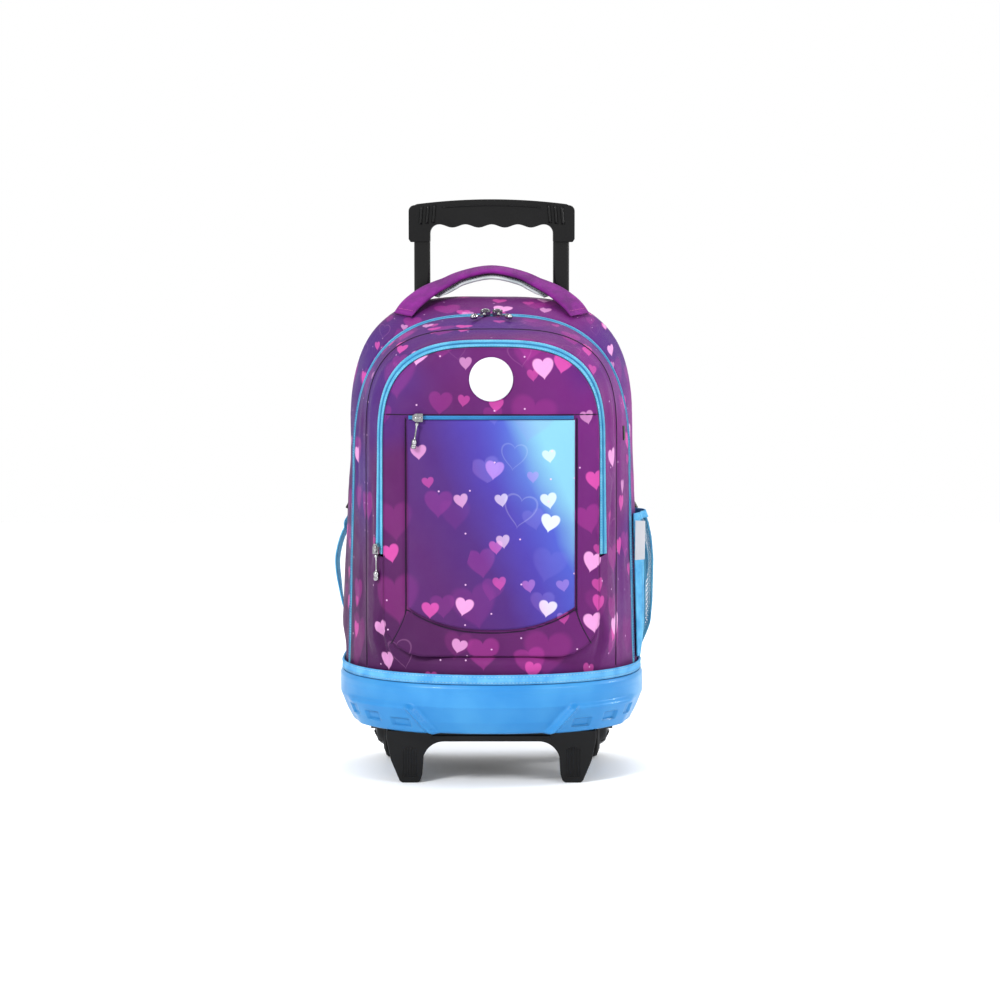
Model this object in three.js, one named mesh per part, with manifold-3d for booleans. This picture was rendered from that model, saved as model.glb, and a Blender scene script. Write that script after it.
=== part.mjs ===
// Wheeled school backpack on a hard tray, with a telescopic trolley handle.
// Millimetres, +Z up, the front of the bag faces -Y and the floor is z = 0.
import * as THREE from 'three';
import { mergeVertices } from 'three/addons/utils/BufferGeometryUtils.js';
import Module from 'manifold-3d';

const wasm = await Module();
wasm.setup();

// Driving dimensions

const CLEAR = 0.3;

const TRAY = {
  half: 150, centre: 20, front: 132, back: 85, frontPower: 2.2, backPower: 5,
  bottom: 54, top: 104, flare: 9.5, wall: 3,
  padOut: 3, padInner: 66, padLean: 17, padHeight: 31,
};
const RIM = { height: 9.7, wall: 3 };

const WHEEL = {
  radius: 34, inner: 92.5, width: 17, hub: 22, shoulder: 19, cap: 10, gap: 2.5, set: 20,
};
const AXLE = { radius: 3, running: 0.4 };
const HOUSING = { wall: 2, cheek: 6, inset: 3.5, boss: 13 };

const STAND = {
  hip: 103, shin: 98.8, sole: 88, soleInner: 72.5, inner: 67.5, fillet: 21,
  bar: 42, front: 74, lean: 8, depth: 42,
};
const PLATE = { half: 100, back: 94 };

const BODY = { half: 151.5, top: 477, front: 97, back: 66, wall: 2, seat: 0.8, round: 20 };
const FACE = { crown: 8.5, bottom: 130.5, wall: 2, bevel: 2.6 };
const ZIP = { main: 5.4, thick: 1.6, end: 228, panel: 3.6 };
const PANEL = { half: 80.5, top: 360, side: 179, middle: 157, thick: 1.2, puff: 2 };
const BADGE = { radius: 21.2, height: 399, thick: 1.6 };

const SLEEVE = { depth: 34, top: 447, wall: 2, power: 4, narrower: 3 };
const TUBE = {
  apart: 141.6, width: 16.5, depth: 11, wall: 1.2, corner: 3, behind: 14,
  innerLength: 345, middleTop: 466, middleLength: 390, outerOver: 4,
};
const GUIDE = { height: 20, half: 87, depth: 22, corner: 7 };
const GRIP = {
  half: 84.4, top: 574.5, sag: 6, under: 549, bottom: 531, inner: 62.5,
  fillet: 9, corner: 6, depth: 22, bevel: 4, wave: 1.6, waves: 4,
};

const HANDLE = {
  half: 88, base: 14, lean: 30, rise: 25.3, width: 30, cover: 6.2, pad: 3.2, tail: 2.4,
};
const HANDLE_STEPS = 24;
const PAD_SKIP = 5;
const STRAP = { width: 52, thick: 9, bow: 8 };
const LOCK = { width: 30, length: 18, thick: 5 };
const WEB = { width: 20, thick: 2, out: 8.5 };
const POCKET = { front: -4, back: 57, foot: 3, height: 147, wall: 1.2, bulge: 15, binding: 1.2 };
const TAG = { width: 10.5, height: 40, thick: 1, top: 140 };
const SLIDER = { length: 10, width: 8, height: 3.6, lift: 0.7 };
const PULL = { length: 26, rod: 0.9, knob: 2.8, knobLength: 9 };

// Sizes that follow from them

const RIM_TOP = TRAY.top + CLEAR + RIM.height;
const WHEEL_Y = TRAY.centre + TRAY.back - WHEEL.set;
const WHEEL_Z = WHEEL.radius;
const HOUSING_OUT = WHEEL.radius + WHEEL.gap + HOUSING.wall;
const CHEEK_X = WHEEL.inner - HOUSING.inset - HOUSING.cheek;
const WHEEL_END = WHEEL.inner + WHEEL.shoulder + WHEEL.cap;
const STAND_TOP = TRAY.bottom - CLEAR;
const FOOT_Z = WHEEL_Z + HOUSING_OUT + 3.5;
const TUBE_X = TUBE.apart / 2;
const TUBE_Y = BODY.back + TUBE.behind;
const STAGE = 2 * (TUBE.wall + CLEAR);
const SLEEVE_FRONT = BODY.back + CLEAR;
const SLEEVE_BACK = SLEEVE_FRONT + SLEEVE.depth;
const BODY_DEPTH = BODY.back + BODY.front;
const HANG = RIM_TOP + 36;

const COLOURS = {
  fabric: [0x6a1f7a, 0.75, 0], zip: [0x63b3e4, 0.6, 0], tray: [0x4f9fe0, 0.45, 0],
  rim: [0x79bdf0, 0.6, 0], black: [0x1b1b1d, 0.45, 0], rubber: [0x222224, 0.8, 0],
  steel: [0xb8babd, 0.3, 0.9], tube: [0x161618, 0.35, 0.3], badge: [0xf2f4f6, 0.4, 0],
  mesh: [0x5fb6dc, 0.8, 0], airmesh: [0xdfe3e6, 0.9, 0], panel: [0x5b46b4, 0.7, 0],
};

// The bag's sections, from its back wall to the bend of the front pocket.
// depth and foot: shares of the body's depth, at the section and at its lower edge;
// half: share of BODY.half; taper: narrowing for each millimetre up; spring and top: shares
// of the height above the rim; power: superellipse exponent of the arch.
const SKIN = [
  { depth: 0.0, foot: 0.0, half: 0.937, taper: 0.05, spring: 0.551, top: 0.972, power: 3.2 },
  { depth: 0.031, foot: 0.031, half: 0.977, taper: 0.05, spring: 0.562, top: 0.992, power: 3.3 },
  { depth: 0.098, foot: 0.098, half: 0.997, taper: 0.05, spring: 0.567, top: 1.0, power: 3.3 },
  { depth: 0.221, foot: 0.221, half: 1.0, taper: 0.05, spring: 0.567, top: 0.996, power: 3.3 },
  { depth: 0.344, foot: 0.344, half: 0.974, taper: 0.04, spring: 0.545, top: 0.975, power: 3.1 },
  { depth: 0.472, foot: 0.472, half: 0.934, taper: 0.025, spring: 0.512, top: 0.95, power: 2.8 },
  { depth: 0.62, foot: 0.65, half: 0.871, taper: 0.012, spring: 0.554, top: 0.935, power: 3.0 },
  { depth: 0.755, foot: 0.81, half: 0.809, taper: 0.0, spring: 0.595, top: 0.915, power: 3.2 },
  { depth: 0.847, foot: 0.97, half: 0.799, taper: 0.01, spring: 0.595, top: 0.904, power: 3.1 },
  { depth: 0.933, foot: 1.06, half: 0.759, taper: 0.02, spring: 0.595, top: 0.892, power: 3.0 },
];
const FACE_SHARE = { half: 0.692, spring: 0.595, top: 0.87, power: 3, corner: 0.23 };
const ZIP_AT = SKIN[5].depth;
const SEAM_AT = SKIN[7].depth;
const BEND_AT = SKIN[9].depth;

// The tray's wall: height as a share of the tray's, and inset as a share of its flare.
const TRAY_WALL = [
  { up: 0.0, inset: 1.45 },
  { up: 0.03, inset: 1.0 },
  { up: 0.24, inset: 0.42 },
  { up: 0.56, inset: -0.24 },
  { up: 0.92, inset: -0.26 },
  { up: 1.0, inset: 0.0 },
];

// The carry handle from its middle to an end: shares of its half span, of its lean to the
// back and of its rise over the bag's top.
const HANDLE_CURVE = [
  { across: 0.0, lean: 1.0, rise: 1.0 },
  { across: 0.364, lean: 0.87, rise: 0.77 },
  { across: 0.5, lean: 0.77, rise: 0.58 },
  { across: 0.71, lean: 0.5, rise: 0.35 },
  { across: 0.91, lean: 0.17, rise: 0.16 },
  { across: 1.0, lean: 0.0, rise: 0.0 },
];

// A shoulder strap from its top end down: shares of BODY.half, STRAP.bow and sleeve height.
const STRAP_CURVE = [
  { across: 0.25, out: 0.0, up: 0.965 },
  { across: 0.3, out: 0.3, up: 0.91 },
  { across: 0.42, out: 0.7, up: 0.8 },
  { across: 0.6, out: 1.0, up: 0.665 },
  { across: 0.76, out: 1.0, up: 0.54 },
  { across: 0.86, out: 0.85, up: 0.455 },
];

// The webbing below the adjuster: shares of WEB.out beyond the body, sleeve depth and height.
const WEB_CURVE = [
  { out: 0.0, back: 1.27, up: 0.36 },
  { out: 1.0, back: 1.17, up: 0.277 },
  { out: 0.75, back: 1.0, up: 0.195 },
  { out: 0.1, back: 0.6, up: 0.128 },
  { out: -0.85, back: 0.36, up: 0.06 },
];

// How far the bottle pocket stands off the side, up its height and from front to back.
const POCKET_UP = [
  { at: 0, out: 0.13 },
  { at: 0.08, out: 0.35 },
  { at: 0.2, out: 0.6 },
  { at: 0.35, out: 0.8 },
  { at: 0.5, out: 0.9 },
  { at: 0.65, out: 1 },
  { at: 0.8, out: 0.95 },
  { at: 0.9, out: 0.8 },
  { at: 0.95, out: 0.66 },
  { at: 1, out: 0.5 },
];
const POCKET_ALONG = [
  { at: 0, out: 0 },
  { at: 0.15, out: 0.4 },
  { at: 0.3, out: 0.52 },
  { at: 0.42, out: 0.42 },
  { at: 0.55, out: 0.85 },
  { at: 0.7, out: 1 },
  { at: 0.85, out: 0.75 },
  { at: 1, out: 0 },
];

// Small helpers

const lerp = (a, b, t) => a + (b - a) * t;
const clamp = (value, low, high) => Math.min(high, Math.max(low, value));
const point = (x, y, z) => new THREE.Vector3(x, y, z);
const range = (count) => [...Array(count).keys()];

function smooth(from, to, value) {
  const t = clamp((value - from) / (to - from), 0, 1);
  return t * t * (3 - 2 * t);
}

function outAt(table, at) {
  const k = clamp(table.findIndex((row) => row.at >= at), 1, table.length - 1);
  const [a, b] = [table[k - 1], table[k]];
  return lerp(a.out, b.out, clamp((at - a.at) / (b.at - a.at), 0, 1));
}

function geometryFrom(points, faces) {
  let volume = 0;
  for (const [a, b, c] of faces) {
    volume += points[a].dot(point(0, 0, 0).crossVectors(points[b], points[c]));
  }
  const wound = volume > 0 ? faces : faces.map(([a, b, c]) => [a, c, b]);
  const geometry = new THREE.BufferGeometry();
  const flat = points.flatMap((p) => [p.x, p.y, p.z]);
  geometry.setAttribute('position', new THREE.Float32BufferAttribute(flat, 3));
  geometry.setIndex(wound.flat());
  return geometry;
}

// A solid lofted through closed rings, with its ends closed on a pole each.
function loft(rings, firstPole, lastPole) {
  const size = rings[0].length;
  const points = rings.flat();
  const faces = [];
  for (let r = 0; r < rings.length - 1; r += 1) {
    for (let i = 0; i < size; i += 1) {
      const j = (i + 1) % size;
      const here = r * size;
      const next = here + size;
      faces.push([here + i, here + j, next + j], [here + i, next + j, next + i]);
    }
  }
  const first = points.push(firstPole) - 1;
  const last = points.push(lastPole) - 1;
  const base = (rings.length - 1) * size;
  for (let i = 0; i < size; i += 1) {
    const j = (i + 1) % size;
    faces.push([first, j, i], [last, base + i, base + j]);
  }
  return geometryFrom(points, faces);
}

// A sheet with thickness between two grids of one size. A closed one meets itself end to end.
function sheet(outer, inner, closed = false) {
  const rows = outer.length;
  const columns = outer[0].length;
  const points = [...outer.flat(), ...inner.flat()];
  const at = (side, i, j) => side * rows * columns + (i % rows) * columns + j;
  const faces = [];
  const quad = (a, b, c, d) => faces.push([a, b, c], [a, c, d]);
  for (let i = 0; i < (closed ? rows : rows - 1); i += 1) {
    for (let j = 0; j < columns - 1; j += 1) {
      quad(at(0, i, j), at(0, i + 1, j), at(0, i + 1, j + 1), at(0, i, j + 1));
      quad(at(1, i, j), at(1, i, j + 1), at(1, i + 1, j + 1), at(1, i + 1, j));
    }
    const end = columns - 1;
    quad(at(0, i, 0), at(1, i, 0), at(1, i + 1, 0), at(0, i + 1, 0));
    quad(at(0, i, end), at(0, i + 1, end), at(1, i + 1, end), at(1, i, end));
  }
  for (let j = 0; j < (closed ? 0 : columns - 1); j += 1) {
    const end = rows - 1;
    quad(at(0, 0, j), at(0, 0, j + 1), at(1, 0, j + 1), at(1, 0, j));
    quad(at(0, end, j), at(1, end, j), at(1, end, j + 1), at(0, end, j + 1));
  }
  return geometryFrom(points, faces);
}

// A grid moved along its own normals, away from a middle point when the distance is positive.
function shifted(grid, distance, middle, closed = false) {
  const rows = grid.length;
  const next = (i) => (closed ? (i + 1) % rows : Math.min(i + 1, rows - 1));
  const last = (i) => (closed ? (i - 1 + rows) % rows : Math.max(i - 1, 0));
  return grid.map((line, i) => line.map((spot, j) => {
    const around = grid[next(i)][j].clone().sub(grid[last(i)][j]);
    const across = line[Math.min(j + 1, line.length - 1)].clone().sub(line[Math.max(j - 1, 0)]);
    const normal = around.cross(across).normalize();
    const sign = Math.sign(normal.dot(spot.clone().sub(middle)));
    return spot.clone().addScaledVector(normal, sign * distance);
  }));
}

// One cross-section of a flat band with blunt edges.
function bandSection(centre, side, face, half, deep) {
  const cut = Math.min(half, deep) * 0.6;
  const corners = [
    [half, cut - deep], [half, deep - cut], [half - cut, deep], [cut - half, deep],
    [-half, deep - cut], [-half, cut - deep], [cut - half, -deep], [half - cut, -deep],
  ];
  return corners.map(([s, f]) => centre.clone().addScaledVector(side, s).addScaledVector(face, f));
}

// A band swept through stops that give its middle and the way that its face looks. It may
// cover only a stretch of them, and lie a given drop under their faces.
function band(stops, steps, width, thick, { from = 0, to = 1, drop = 0 } = {}) {
  const path = new THREE.CatmullRomCurve3(stops.map((stop) => stop.at));
  const looks = new THREE.CatmullRomCurve3(stops.map((stop) => stop.face));
  const sections = range(steps + 1).map((i) => {
    const share = i / steps;
    const t = lerp(from, to, share);
    const along = path.getTangent(t);
    const side = looks.getPoint(t).clone().cross(along).normalize();
    const face = along.clone().cross(side).normalize();
    const centre = path.getPoint(t).addScaledVector(face, -drop);
    return { centre, ring: bandSection(centre, side, face, width(share) / 2, thick(share) / 2) };
  });
  return loft(sections.map(({ ring }) => ring), sections[0].centre, sections[steps].centre);
}

// A rectangle with round corners, drawn into a Shape or a Path.
function roundedRect(line, halfX, halfY, corner, x0 = 0, y0 = 0) {
  const steps = 2;
  for (const [turn, sx, sy] of [[0, 1, 1], [1, -1, 1], [2, -1, -1], [3, 1, -1]]) {
    for (let i = 0; i <= steps; i += 1) {
      const angle = (turn + i / steps) * (Math.PI / 2);
      const x = x0 + sx * (halfX - corner) + corner * Math.cos(angle);
      const y = y0 + sy * (halfY - corner) + corner * Math.sin(angle);
      line[turn === 0 && i === 0 ? 'moveTo' : 'lineTo'](x, y);
    }
  }
  line.closePath();
  return line;
}

function polygon(spots) {
  return new THREE.Shape(spots.map(([x, y]) => new THREE.Vector2(x, y)));
}

function extruded(shape, depth, options = {}) {
  return new THREE.ExtrudeGeometry(shape, { depth, bevelEnabled: false, curveSegments: 5, ...options });
}

// An outline drawn in X and Z, given its depth from y = front to the back.
function upright(shape, front, depth, options = {}) {
  const geometry = extruded(shape, depth, options);
  geometry.rotateX(Math.PI / 2);
  geometry.translate(0, front + depth, 0);
  return geometry;
}

// An outline drawn in Y and Z, given its width from x = from to x = to.
function sideways(shape, from, to) {
  const geometry = extruded(shape, to - from);
  geometry.rotateX(Math.PI / 2);
  geometry.rotateZ(Math.PI / 2);
  geometry.translate(from, 0, 0);
  return geometry;
}

function rodX(radius, from, to, y, z, sides) {
  const rod = new THREE.CylinderGeometry(radius, radius, to - from, sides);
  rod.rotateZ(Math.PI / 2);
  rod.translate((from + to) / 2, y, z);
  return rod;
}

function toSolid(geometry) {
  const bare = geometry.clone();
  bare.deleteAttribute('normal');
  bare.deleteAttribute('uv');
  const merged = mergeVertices(bare, 1e-3);
  return new wasm.Manifold(new wasm.Mesh({
    numProp: 3,
    vertProperties: new Float32Array(merged.attributes.position.array),
    triVerts: new Uint32Array(merged.index.array),
  }));
}

function fromSolid(solid) {
  const mesh = solid.getMesh();
  const geometry = new THREE.BufferGeometry();
  geometry.setAttribute('position', new THREE.BufferAttribute(mesh.vertProperties, 3));
  geometry.setIndex(new THREE.BufferAttribute(mesh.triVerts, 1));
  return geometry;
}

const backpack = new THREE.Group();

function add(name, geometry, colour) {
  const [color, roughness, metalness] = COLOURS[colour];
  const material = new THREE.MeshStandardMaterial({ color, roughness, metalness });
  const mesh = new THREE.Mesh(geometry, material);
  mesh.name = name;
  backpack.add(mesh);
}

function mirrored(geometry) {
  const copy = geometry.clone();
  copy.scale(-1, 1, 1);
  const order = copy.index ? [...copy.index.array] : range(copy.attributes.position.count);
  const turned = order.map((_, i) => order[i - (i % 3) + [0, 2, 1][i % 3]]);
  copy.setIndex(turned);
  return copy;
}

function addPair(name, right, colour) {
  add(`${name}_right`, right, colour);
  add(`${name}_left`, mirrored(right), colour);
}

// The skin of the bag

const shareAt = (y) => (BODY.back - y) / BODY_DEPTH;

function rowAt(share) {
  const k = clamp(SKIN.findIndex((row) => row.depth >= share), 1, SKIN.length - 1);
  const [a, b] = [SKIN[k - 1], SKIN[k]];
  const t = (share - a.depth) / (b.depth - a.depth);
  const mix = (column) => lerp(a[column], b[column], t);
  return {
    y: BODY.back - share * BODY_DEPTH,
    footY: BODY.back - mix('foot') * BODY_DEPTH,
    half: mix('half') * BODY.half,
    taper: mix('taper'),
    spring: lerp(RIM_TOP, BODY.top, mix('spring')),
    top: lerp(RIM_TOP, BODY.top, mix('top')),
    power: mix('power'),
    foot: FOOT_Z + 12 * smooth(SEAM_AT, BEND_AT, share),
    corner: 12,
  };
}

const FACE_ROW = {
  half: FACE_SHARE.half * BODY.half,
  taper: 0,
  spring: lerp(RIM_TOP, BODY.top, FACE_SHARE.spring),
  top: lerp(RIM_TOP, BODY.top, FACE_SHARE.top),
  power: FACE_SHARE.power,
  foot: FACE.bottom,
  corner: FACE_SHARE.corner * BODY.half,
};

function halfAt(row, z) {
  const straight = row.half - row.taper * (Math.min(z, row.spring) - HANG);
  const rise = clamp((z - row.spring) / (row.top - row.spring), 0, 1);
  return straight * Math.pow(1 - Math.pow(rise, row.power), 1 / row.power);
}

function topAt(row, x) {
  const share = clamp(Math.abs(x) / halfAt(row, row.spring), 0, 1);
  return lerp(row.spring, row.top, Math.pow(1 - Math.pow(share, row.power), 1 / row.power));
}

const skinTop = (x, y) => topAt(rowAt(shareAt(y)), x);

// How much a plan point is drawn in to lie inside the rim.
function planScale(x, y, inset) {
  const ahead = y < TRAY.centre;
  const room = RIM.wall + BODY.seat + inset;
  const deep = (ahead ? TRAY.front : TRAY.back) - room;
  const power = ahead ? TRAY.frontPower : TRAY.backPower;
  const sum = Math.pow(Math.abs(x) / (TRAY.half - room), power)
    + Math.pow(Math.abs(y - TRAY.centre) / deep, power);
  return sum > 1 ? Math.pow(sum, -1 / power) : 1;
}

function tucked(x, y, z, inset = 0) {
  const weight = 1 - smooth(RIM_TOP + 4, HANG, z);
  const scale = lerp(1, planScale(x, y, inset), weight);
  return point(x * scale, TRAY.centre + (y - TRAY.centre) * scale, z);
}

// Half of an arched outline in X and Z, from the middle of its foot up its left side.
const ARCH_STEPS = 9;
const ABOVE_ZIP_END = 11;
function halfArch(row, inset) {
  const foot = row.foot + inset;
  const corner = Math.max(row.corner - inset, 1);
  const spread = (z) => halfAt(row, z) - inset;
  const flat = spread(foot) - corner;
  const heel = foot + corner;
  const below = ZIP.end - 1.5;
  const spots = [0, 0.4, 0.75].map((share) => [-flat * share, foot]);
  for (const turn of [0, 0.25, 0.5]) {
    const angle = turn * Math.PI;
    spots.push([-flat - corner * Math.sin(angle), heel - corner * Math.cos(angle)]);
  }
  const seat = Math.max(RIM_TOP + 2, lerp(heel, below, 0.1));
  const rises = [0, 0.15, 0.31, 0.65, 1].map((share) => lerp(seat, below, share));
  rises.push(ZIP.end + 1.5, lerp(ZIP.end, row.spring, 0.5), row.spring);
  spots.push(...rises.map((z) => [-spread(z), z]));
  for (let i = 1; i <= ARCH_STEPS; i += 1) {
    const angle = (i / ARCH_STEPS) * (Math.PI / 2);
    const across = Math.pow(Math.max(Math.cos(angle), 0), 2 / row.power);
    const up = Math.pow(Math.sin(angle), 2 / row.power);
    spots.push([-across * spread(row.spring), lerp(row.spring, row.top - inset, up)]);
  }
  spots[spots.length - 1][0] = 0;
  return spots;
}

function archRing(row, inset, depthAt) {
  const left = halfArch(row, inset);
  const right = left.slice(1, -1).reverse().map(([x, z]) => [-x, z]);
  return [...left, ...right].map(([x, z]) => tucked(x, depthAt(x, z), z, inset));
}

function skinRing(share, inset = 0) {
  const row = rowAt(share);
  const heel = row.foot + row.corner;
  return archRing(row, inset, (x, z) => {
    const low = 1 - smooth(heel, heel + 40, z);
    const inward = 1 - Math.pow(clamp(Math.abs(x) / Math.max(halfAt(row, z), 1), 0, 1), 2.5);
    return lerp(row.y, row.footY, low * inward);
  });
}

// The front pocket's face: nearly flat, turning back towards its edge.
function faceY(x, z) {
  const up = Math.max(0, (z - FACE_ROW.spring) / (FACE_ROW.top - FACE_ROW.spring));
  const edge = Math.min(Math.pow(Math.abs(x) / FACE_ROW.half, 3) + Math.pow(up, 3), 1);
  return -BODY.front - FACE.crown * (1 - Math.pow(edge, 4 / 3));
}

const faceRing = (inset = 0) => archRing(FACE_ROW, inset, faceY);

function makeCup(shares, wallShare, closedEnd) {
  const back = closedEnd === 'back';
  const outer = shares.map((share) => skinRing(share));
  const inner = shares.map((share, i) => {
    const near = back ? Math.max(share, wallShare * (i + 1)) : share;
    return skinRing(back ? near : Math.min(near, shares[shares.length - 1] - wallShare), BODY.wall);
  });
  const wallY = rowAt(back ? shares[0] : shares[shares.length - 1]).y;
  const middle = (RIM_TOP + BODY.top) / 2;
  const outerPole = point(0, wallY, middle);
  const innerPole = point(0, wallY + (back ? -BODY.wall : BODY.wall), middle);
  return back
    ? loft([...outer, ...inner.reverse()], outerPole, innerPole)
    : loft([...outer.reverse(), ...inner], outerPole, innerPole);
}

const WALL_SHARE = BODY.wall / BODY_DEPTH;
const ZIP_SHARE = ZIP.main / 2 / BODY_DEPTH;
const GAP_SHARE = CLEAR / BODY_DEPTH;

function makeMainShell() {
  const front = ZIP_AT - ZIP_SHARE - GAP_SHARE;
  return makeCup([...SKIN.slice(0, 5).map((row) => row.depth), front], WALL_SHARE, 'back');
}

function makeFrontShell() {
  const back = ZIP_AT + ZIP_SHARE + GAP_SHARE;
  return makeCup([back, 0.555, SKIN[6].depth, 0.69, SEAM_AT], WALL_SHARE, 'front');
}

function makeMainZip() {
  const shares = [-1, 0, 1].map((side) => ZIP_AT + side * ZIP_SHARE);
  const across = (inset) => {
    const rings = shares.map((share) => skinRing(share, inset));
    return rings[0].map((_, i) => rings.map((ring) => ring[i]));
  };
  return sheet(across(0), across(ZIP.thick), true);
}

const POCKET_MIDDLE = point(0, BODY.back, (RIM_TOP + BODY.top) / 2);

function makeGusset() {
  const bend = skinRing(BEND_AT);
  const edge = faceRing();
  const rings = [SEAM_AT + 2 * GAP_SHARE, SKIN[8].depth].map((share) => skinRing(share));
  const outer = bend.map((spot, i) => {
    const reach = spot.z > ZIP.end ? 0.1 : 0.96;
    const lip = [0.3, 0.6, 1].map((share) => spot.clone().lerp(edge[i], reach * share));
    return [rings[0][i], rings[1][i], spot, ...lip.map(({ x, y, z }) => tucked(x, y, z, 2 * BODY.seat))];
  });
  const inner = shifted(outer, -BODY.wall, POCKET_MIDDLE, true);
  skinRing(SEAM_AT + 2 * GAP_SHARE, BODY.wall).forEach((spot, i) => {
    inner[i][0] = spot;
  });
  return sheet(outer, inner, true);
}

function makePocketZip() {
  const bend = skinRing(BEND_AT);
  const edge = faceRing();
  const spots = range(bend.length - 2 * ABOVE_ZIP_END + 1).map((i) => i + ABOVE_ZIP_END);
  const outer = spots.map((i) => [0.14, 0.5, 0.92].map((t) => bend[i].clone().lerp(edge[i], t)));
  return sheet(outer, shifted(outer, -ZIP.thick, POCKET_MIDDLE));
}

function makeFace() {
  const scaled = (inset, back, share) => archRing(FACE_ROW, inset, faceY).map((spot) => {
    const x = spot.x * share;
    const z = lerp((FACE_ROW.foot + FACE_ROW.top) / 2, spot.z, share);
    const y = share === 1 ? spot.y : faceY(x, z);
    return point(x, y + back, z);
  });
  const shares = [0.45, 0.75, 0.92, 1];
  const outer = shares.map((share) => scaled(0.3, 0, share));
  const inner = shares.map((share) => scaled(FACE.bevel, FACE.wall, share)).reverse();
  const middle = (FACE_ROW.foot + FACE_ROW.top) / 2;
  return loft([...outer, ...inner], point(0, faceY(0, middle), middle),
    point(0, faceY(0, middle) + FACE.wall, middle));
}

function onFace(x, z, out) {
  return point(x, faceY(x, z) - CLEAR - out, z);
}

function makePanel() {
  const columns = 14;
  const rows = 9;
  const surface = (out, puff) => range(columns + 1).map((i) => range(rows + 1).map((j) => {
    const a = (2 * i) / columns - 1;
    const b = (2 * j) / rows - 1;
    const x = a * PANEL.half;
    const low = lerp(PANEL.middle, PANEL.side, Math.pow(Math.abs(a), 2.4));
    const z = lerp(low, PANEL.top, j / rows);
    const crown = puff * (1 - Math.pow(a, 4)) * (1 - Math.pow(b, 4));
    return onFace(x, z, out + crown);
  }));
  return sheet(surface(PANEL.thick, PANEL.puff), surface(0, 0));
}

function makePanelZip() {
  const columns = 12;
  const strip = (out) => range(columns + 1).map((i) => [0, 1].map((j) => {
    const x = ((2 * i) / columns - 1) * (PANEL.half - 1);
    return onFace(x, PANEL.top + 0.6 + j * ZIP.panel, out);
  }));
  return sheet(strip(PANEL.thick), strip(0));
}

function makeBadge() {
  const ring = (share, out) => range(24).map((i) => {
    const angle = (i / 24) * 2 * Math.PI;
    const x = Math.cos(angle) * BADGE.radius * share;
    const z = BADGE.height + Math.sin(angle) * BADGE.radius * share;
    return onFace(x, z, out);
  });
  const rings = [ring(0.5, BADGE.thick), ring(0.94, BADGE.thick), ring(1, BADGE.thick * 0.7),
    ring(1, 0), ring(0.5, 0)];
  return loft(rings, onFace(0, BADGE.height, BADGE.thick), onFace(0, BADGE.height, 0));
}

// The back: a sleeve over the trolley tubes, open at its top

function sleeveHalf(z) {
  return Math.max(halfAt(rowAt(0), z) - SLEEVE.narrower, GUIDE.half + 14);
}

function makeSleeve() {
  const turns = 20;
  const heights = [FOOT_Z, RIM_TOP, HANG, 230, 314, 365, 400, 425, 447]
    .map((z) => Math.min(z, SLEEVE.top));
  heights[heights.length - 1] = SLEEVE.top;
  const wall = (inset) => range(turns + 1).map((i) => heights.map((z) => {
    const angle = (i / turns) * Math.PI;
    const bend = (value) => Math.sign(value) * Math.pow(Math.abs(value), 2 / SLEEVE.power);
    const x = bend(Math.cos(angle)) * (sleeveHalf(z) - inset);
    const y = SLEEVE_FRONT + bend(Math.max(Math.sin(angle), 0)) * (SLEEVE.depth - inset);
    return tucked(x, y, z, inset);
  }));
  return sheet(wall(0), wall(SLEEVE.wall));
}

// The tray and what is under it

function planRing(inset, z, count = 72) {
  return range(count).map((i) => {
    const angle = ((i + 0.5) / count) * 2 * Math.PI;
    const ahead = Math.sin(angle) < 0;
    const power = 2 / (ahead ? TRAY.frontPower : TRAY.backPower);
    const bend = (value) => Math.sign(value) * Math.pow(Math.abs(value), power);
    const away = new THREE.Vector2(bend(Math.cos(angle)), bend(Math.sin(angle)));
    const deep = ahead ? TRAY.front : TRAY.back;
    const x = away.x * TRAY.half;
    const ridge = TRAY.padInner + TRAY.padLean * clamp((z - TRAY.bottom) / TRAY.padHeight, 0, 1);
    const pad = ahead
      ? smooth(ridge - 3, ridge + 2, Math.abs(x)) * (1 - smooth(TRAY.padHeight - 6,
        TRAY.padHeight, z - TRAY.bottom)) * (1 - smooth(120, 146, Math.abs(x)))
      : 0;
    const out = TRAY.padOut * pad - inset;
    return point(away.x * (TRAY.half + out), TRAY.centre + away.y * (deep + out), z);
  });
}

function makeTray() {
  const height = TRAY.top - TRAY.bottom;
  const outer = TRAY_WALL.map((row) => planRing(row.inset * TRAY.flare, TRAY.bottom + row.up * height));
  const inner = TRAY_WALL.slice(2).reverse().map((row) => (
    planRing(row.inset * TRAY.flare + TRAY.wall, TRAY.bottom + row.up * height)
  ));
  const floor = TRAY.bottom + TRAY.wall;
  inner.push(planRing(TRAY.flare * 1.15 + TRAY.wall, floor));
  const shell = loft([...outer, ...inner], point(0, TRAY.centre, TRAY.bottom), point(0, TRAY.centre, floor));
  const near = CHEEK_X - CLEAR;
  const far = WHEEL_END + HOUSING.wall + CLEAR;
  const well = rodX(HOUSING_OUT + CLEAR, near, far, WHEEL_Y, WHEEL_Z, 36);
  const wells = toSolid(well).add(toSolid(mirrored(well)));
  return fromSolid(toSolid(shell).subtract(wells));
}

function makeRim() {
  const low = TRAY.top + CLEAR;
  const rounds = [[0, 0], [-0.6, 0.5], [0, 1]];
  const outer = rounds.map(([inset, up]) => planRing(inset, low + up * RIM.height));
  const inner = rounds.map(([, up]) => planRing(RIM.wall, low + up * RIM.height));
  const across = (rings) => rings[0].map((_, i) => rings.map((ring) => ring[i]));
  return sheet(across(outer), across(inner), true);
}

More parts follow.
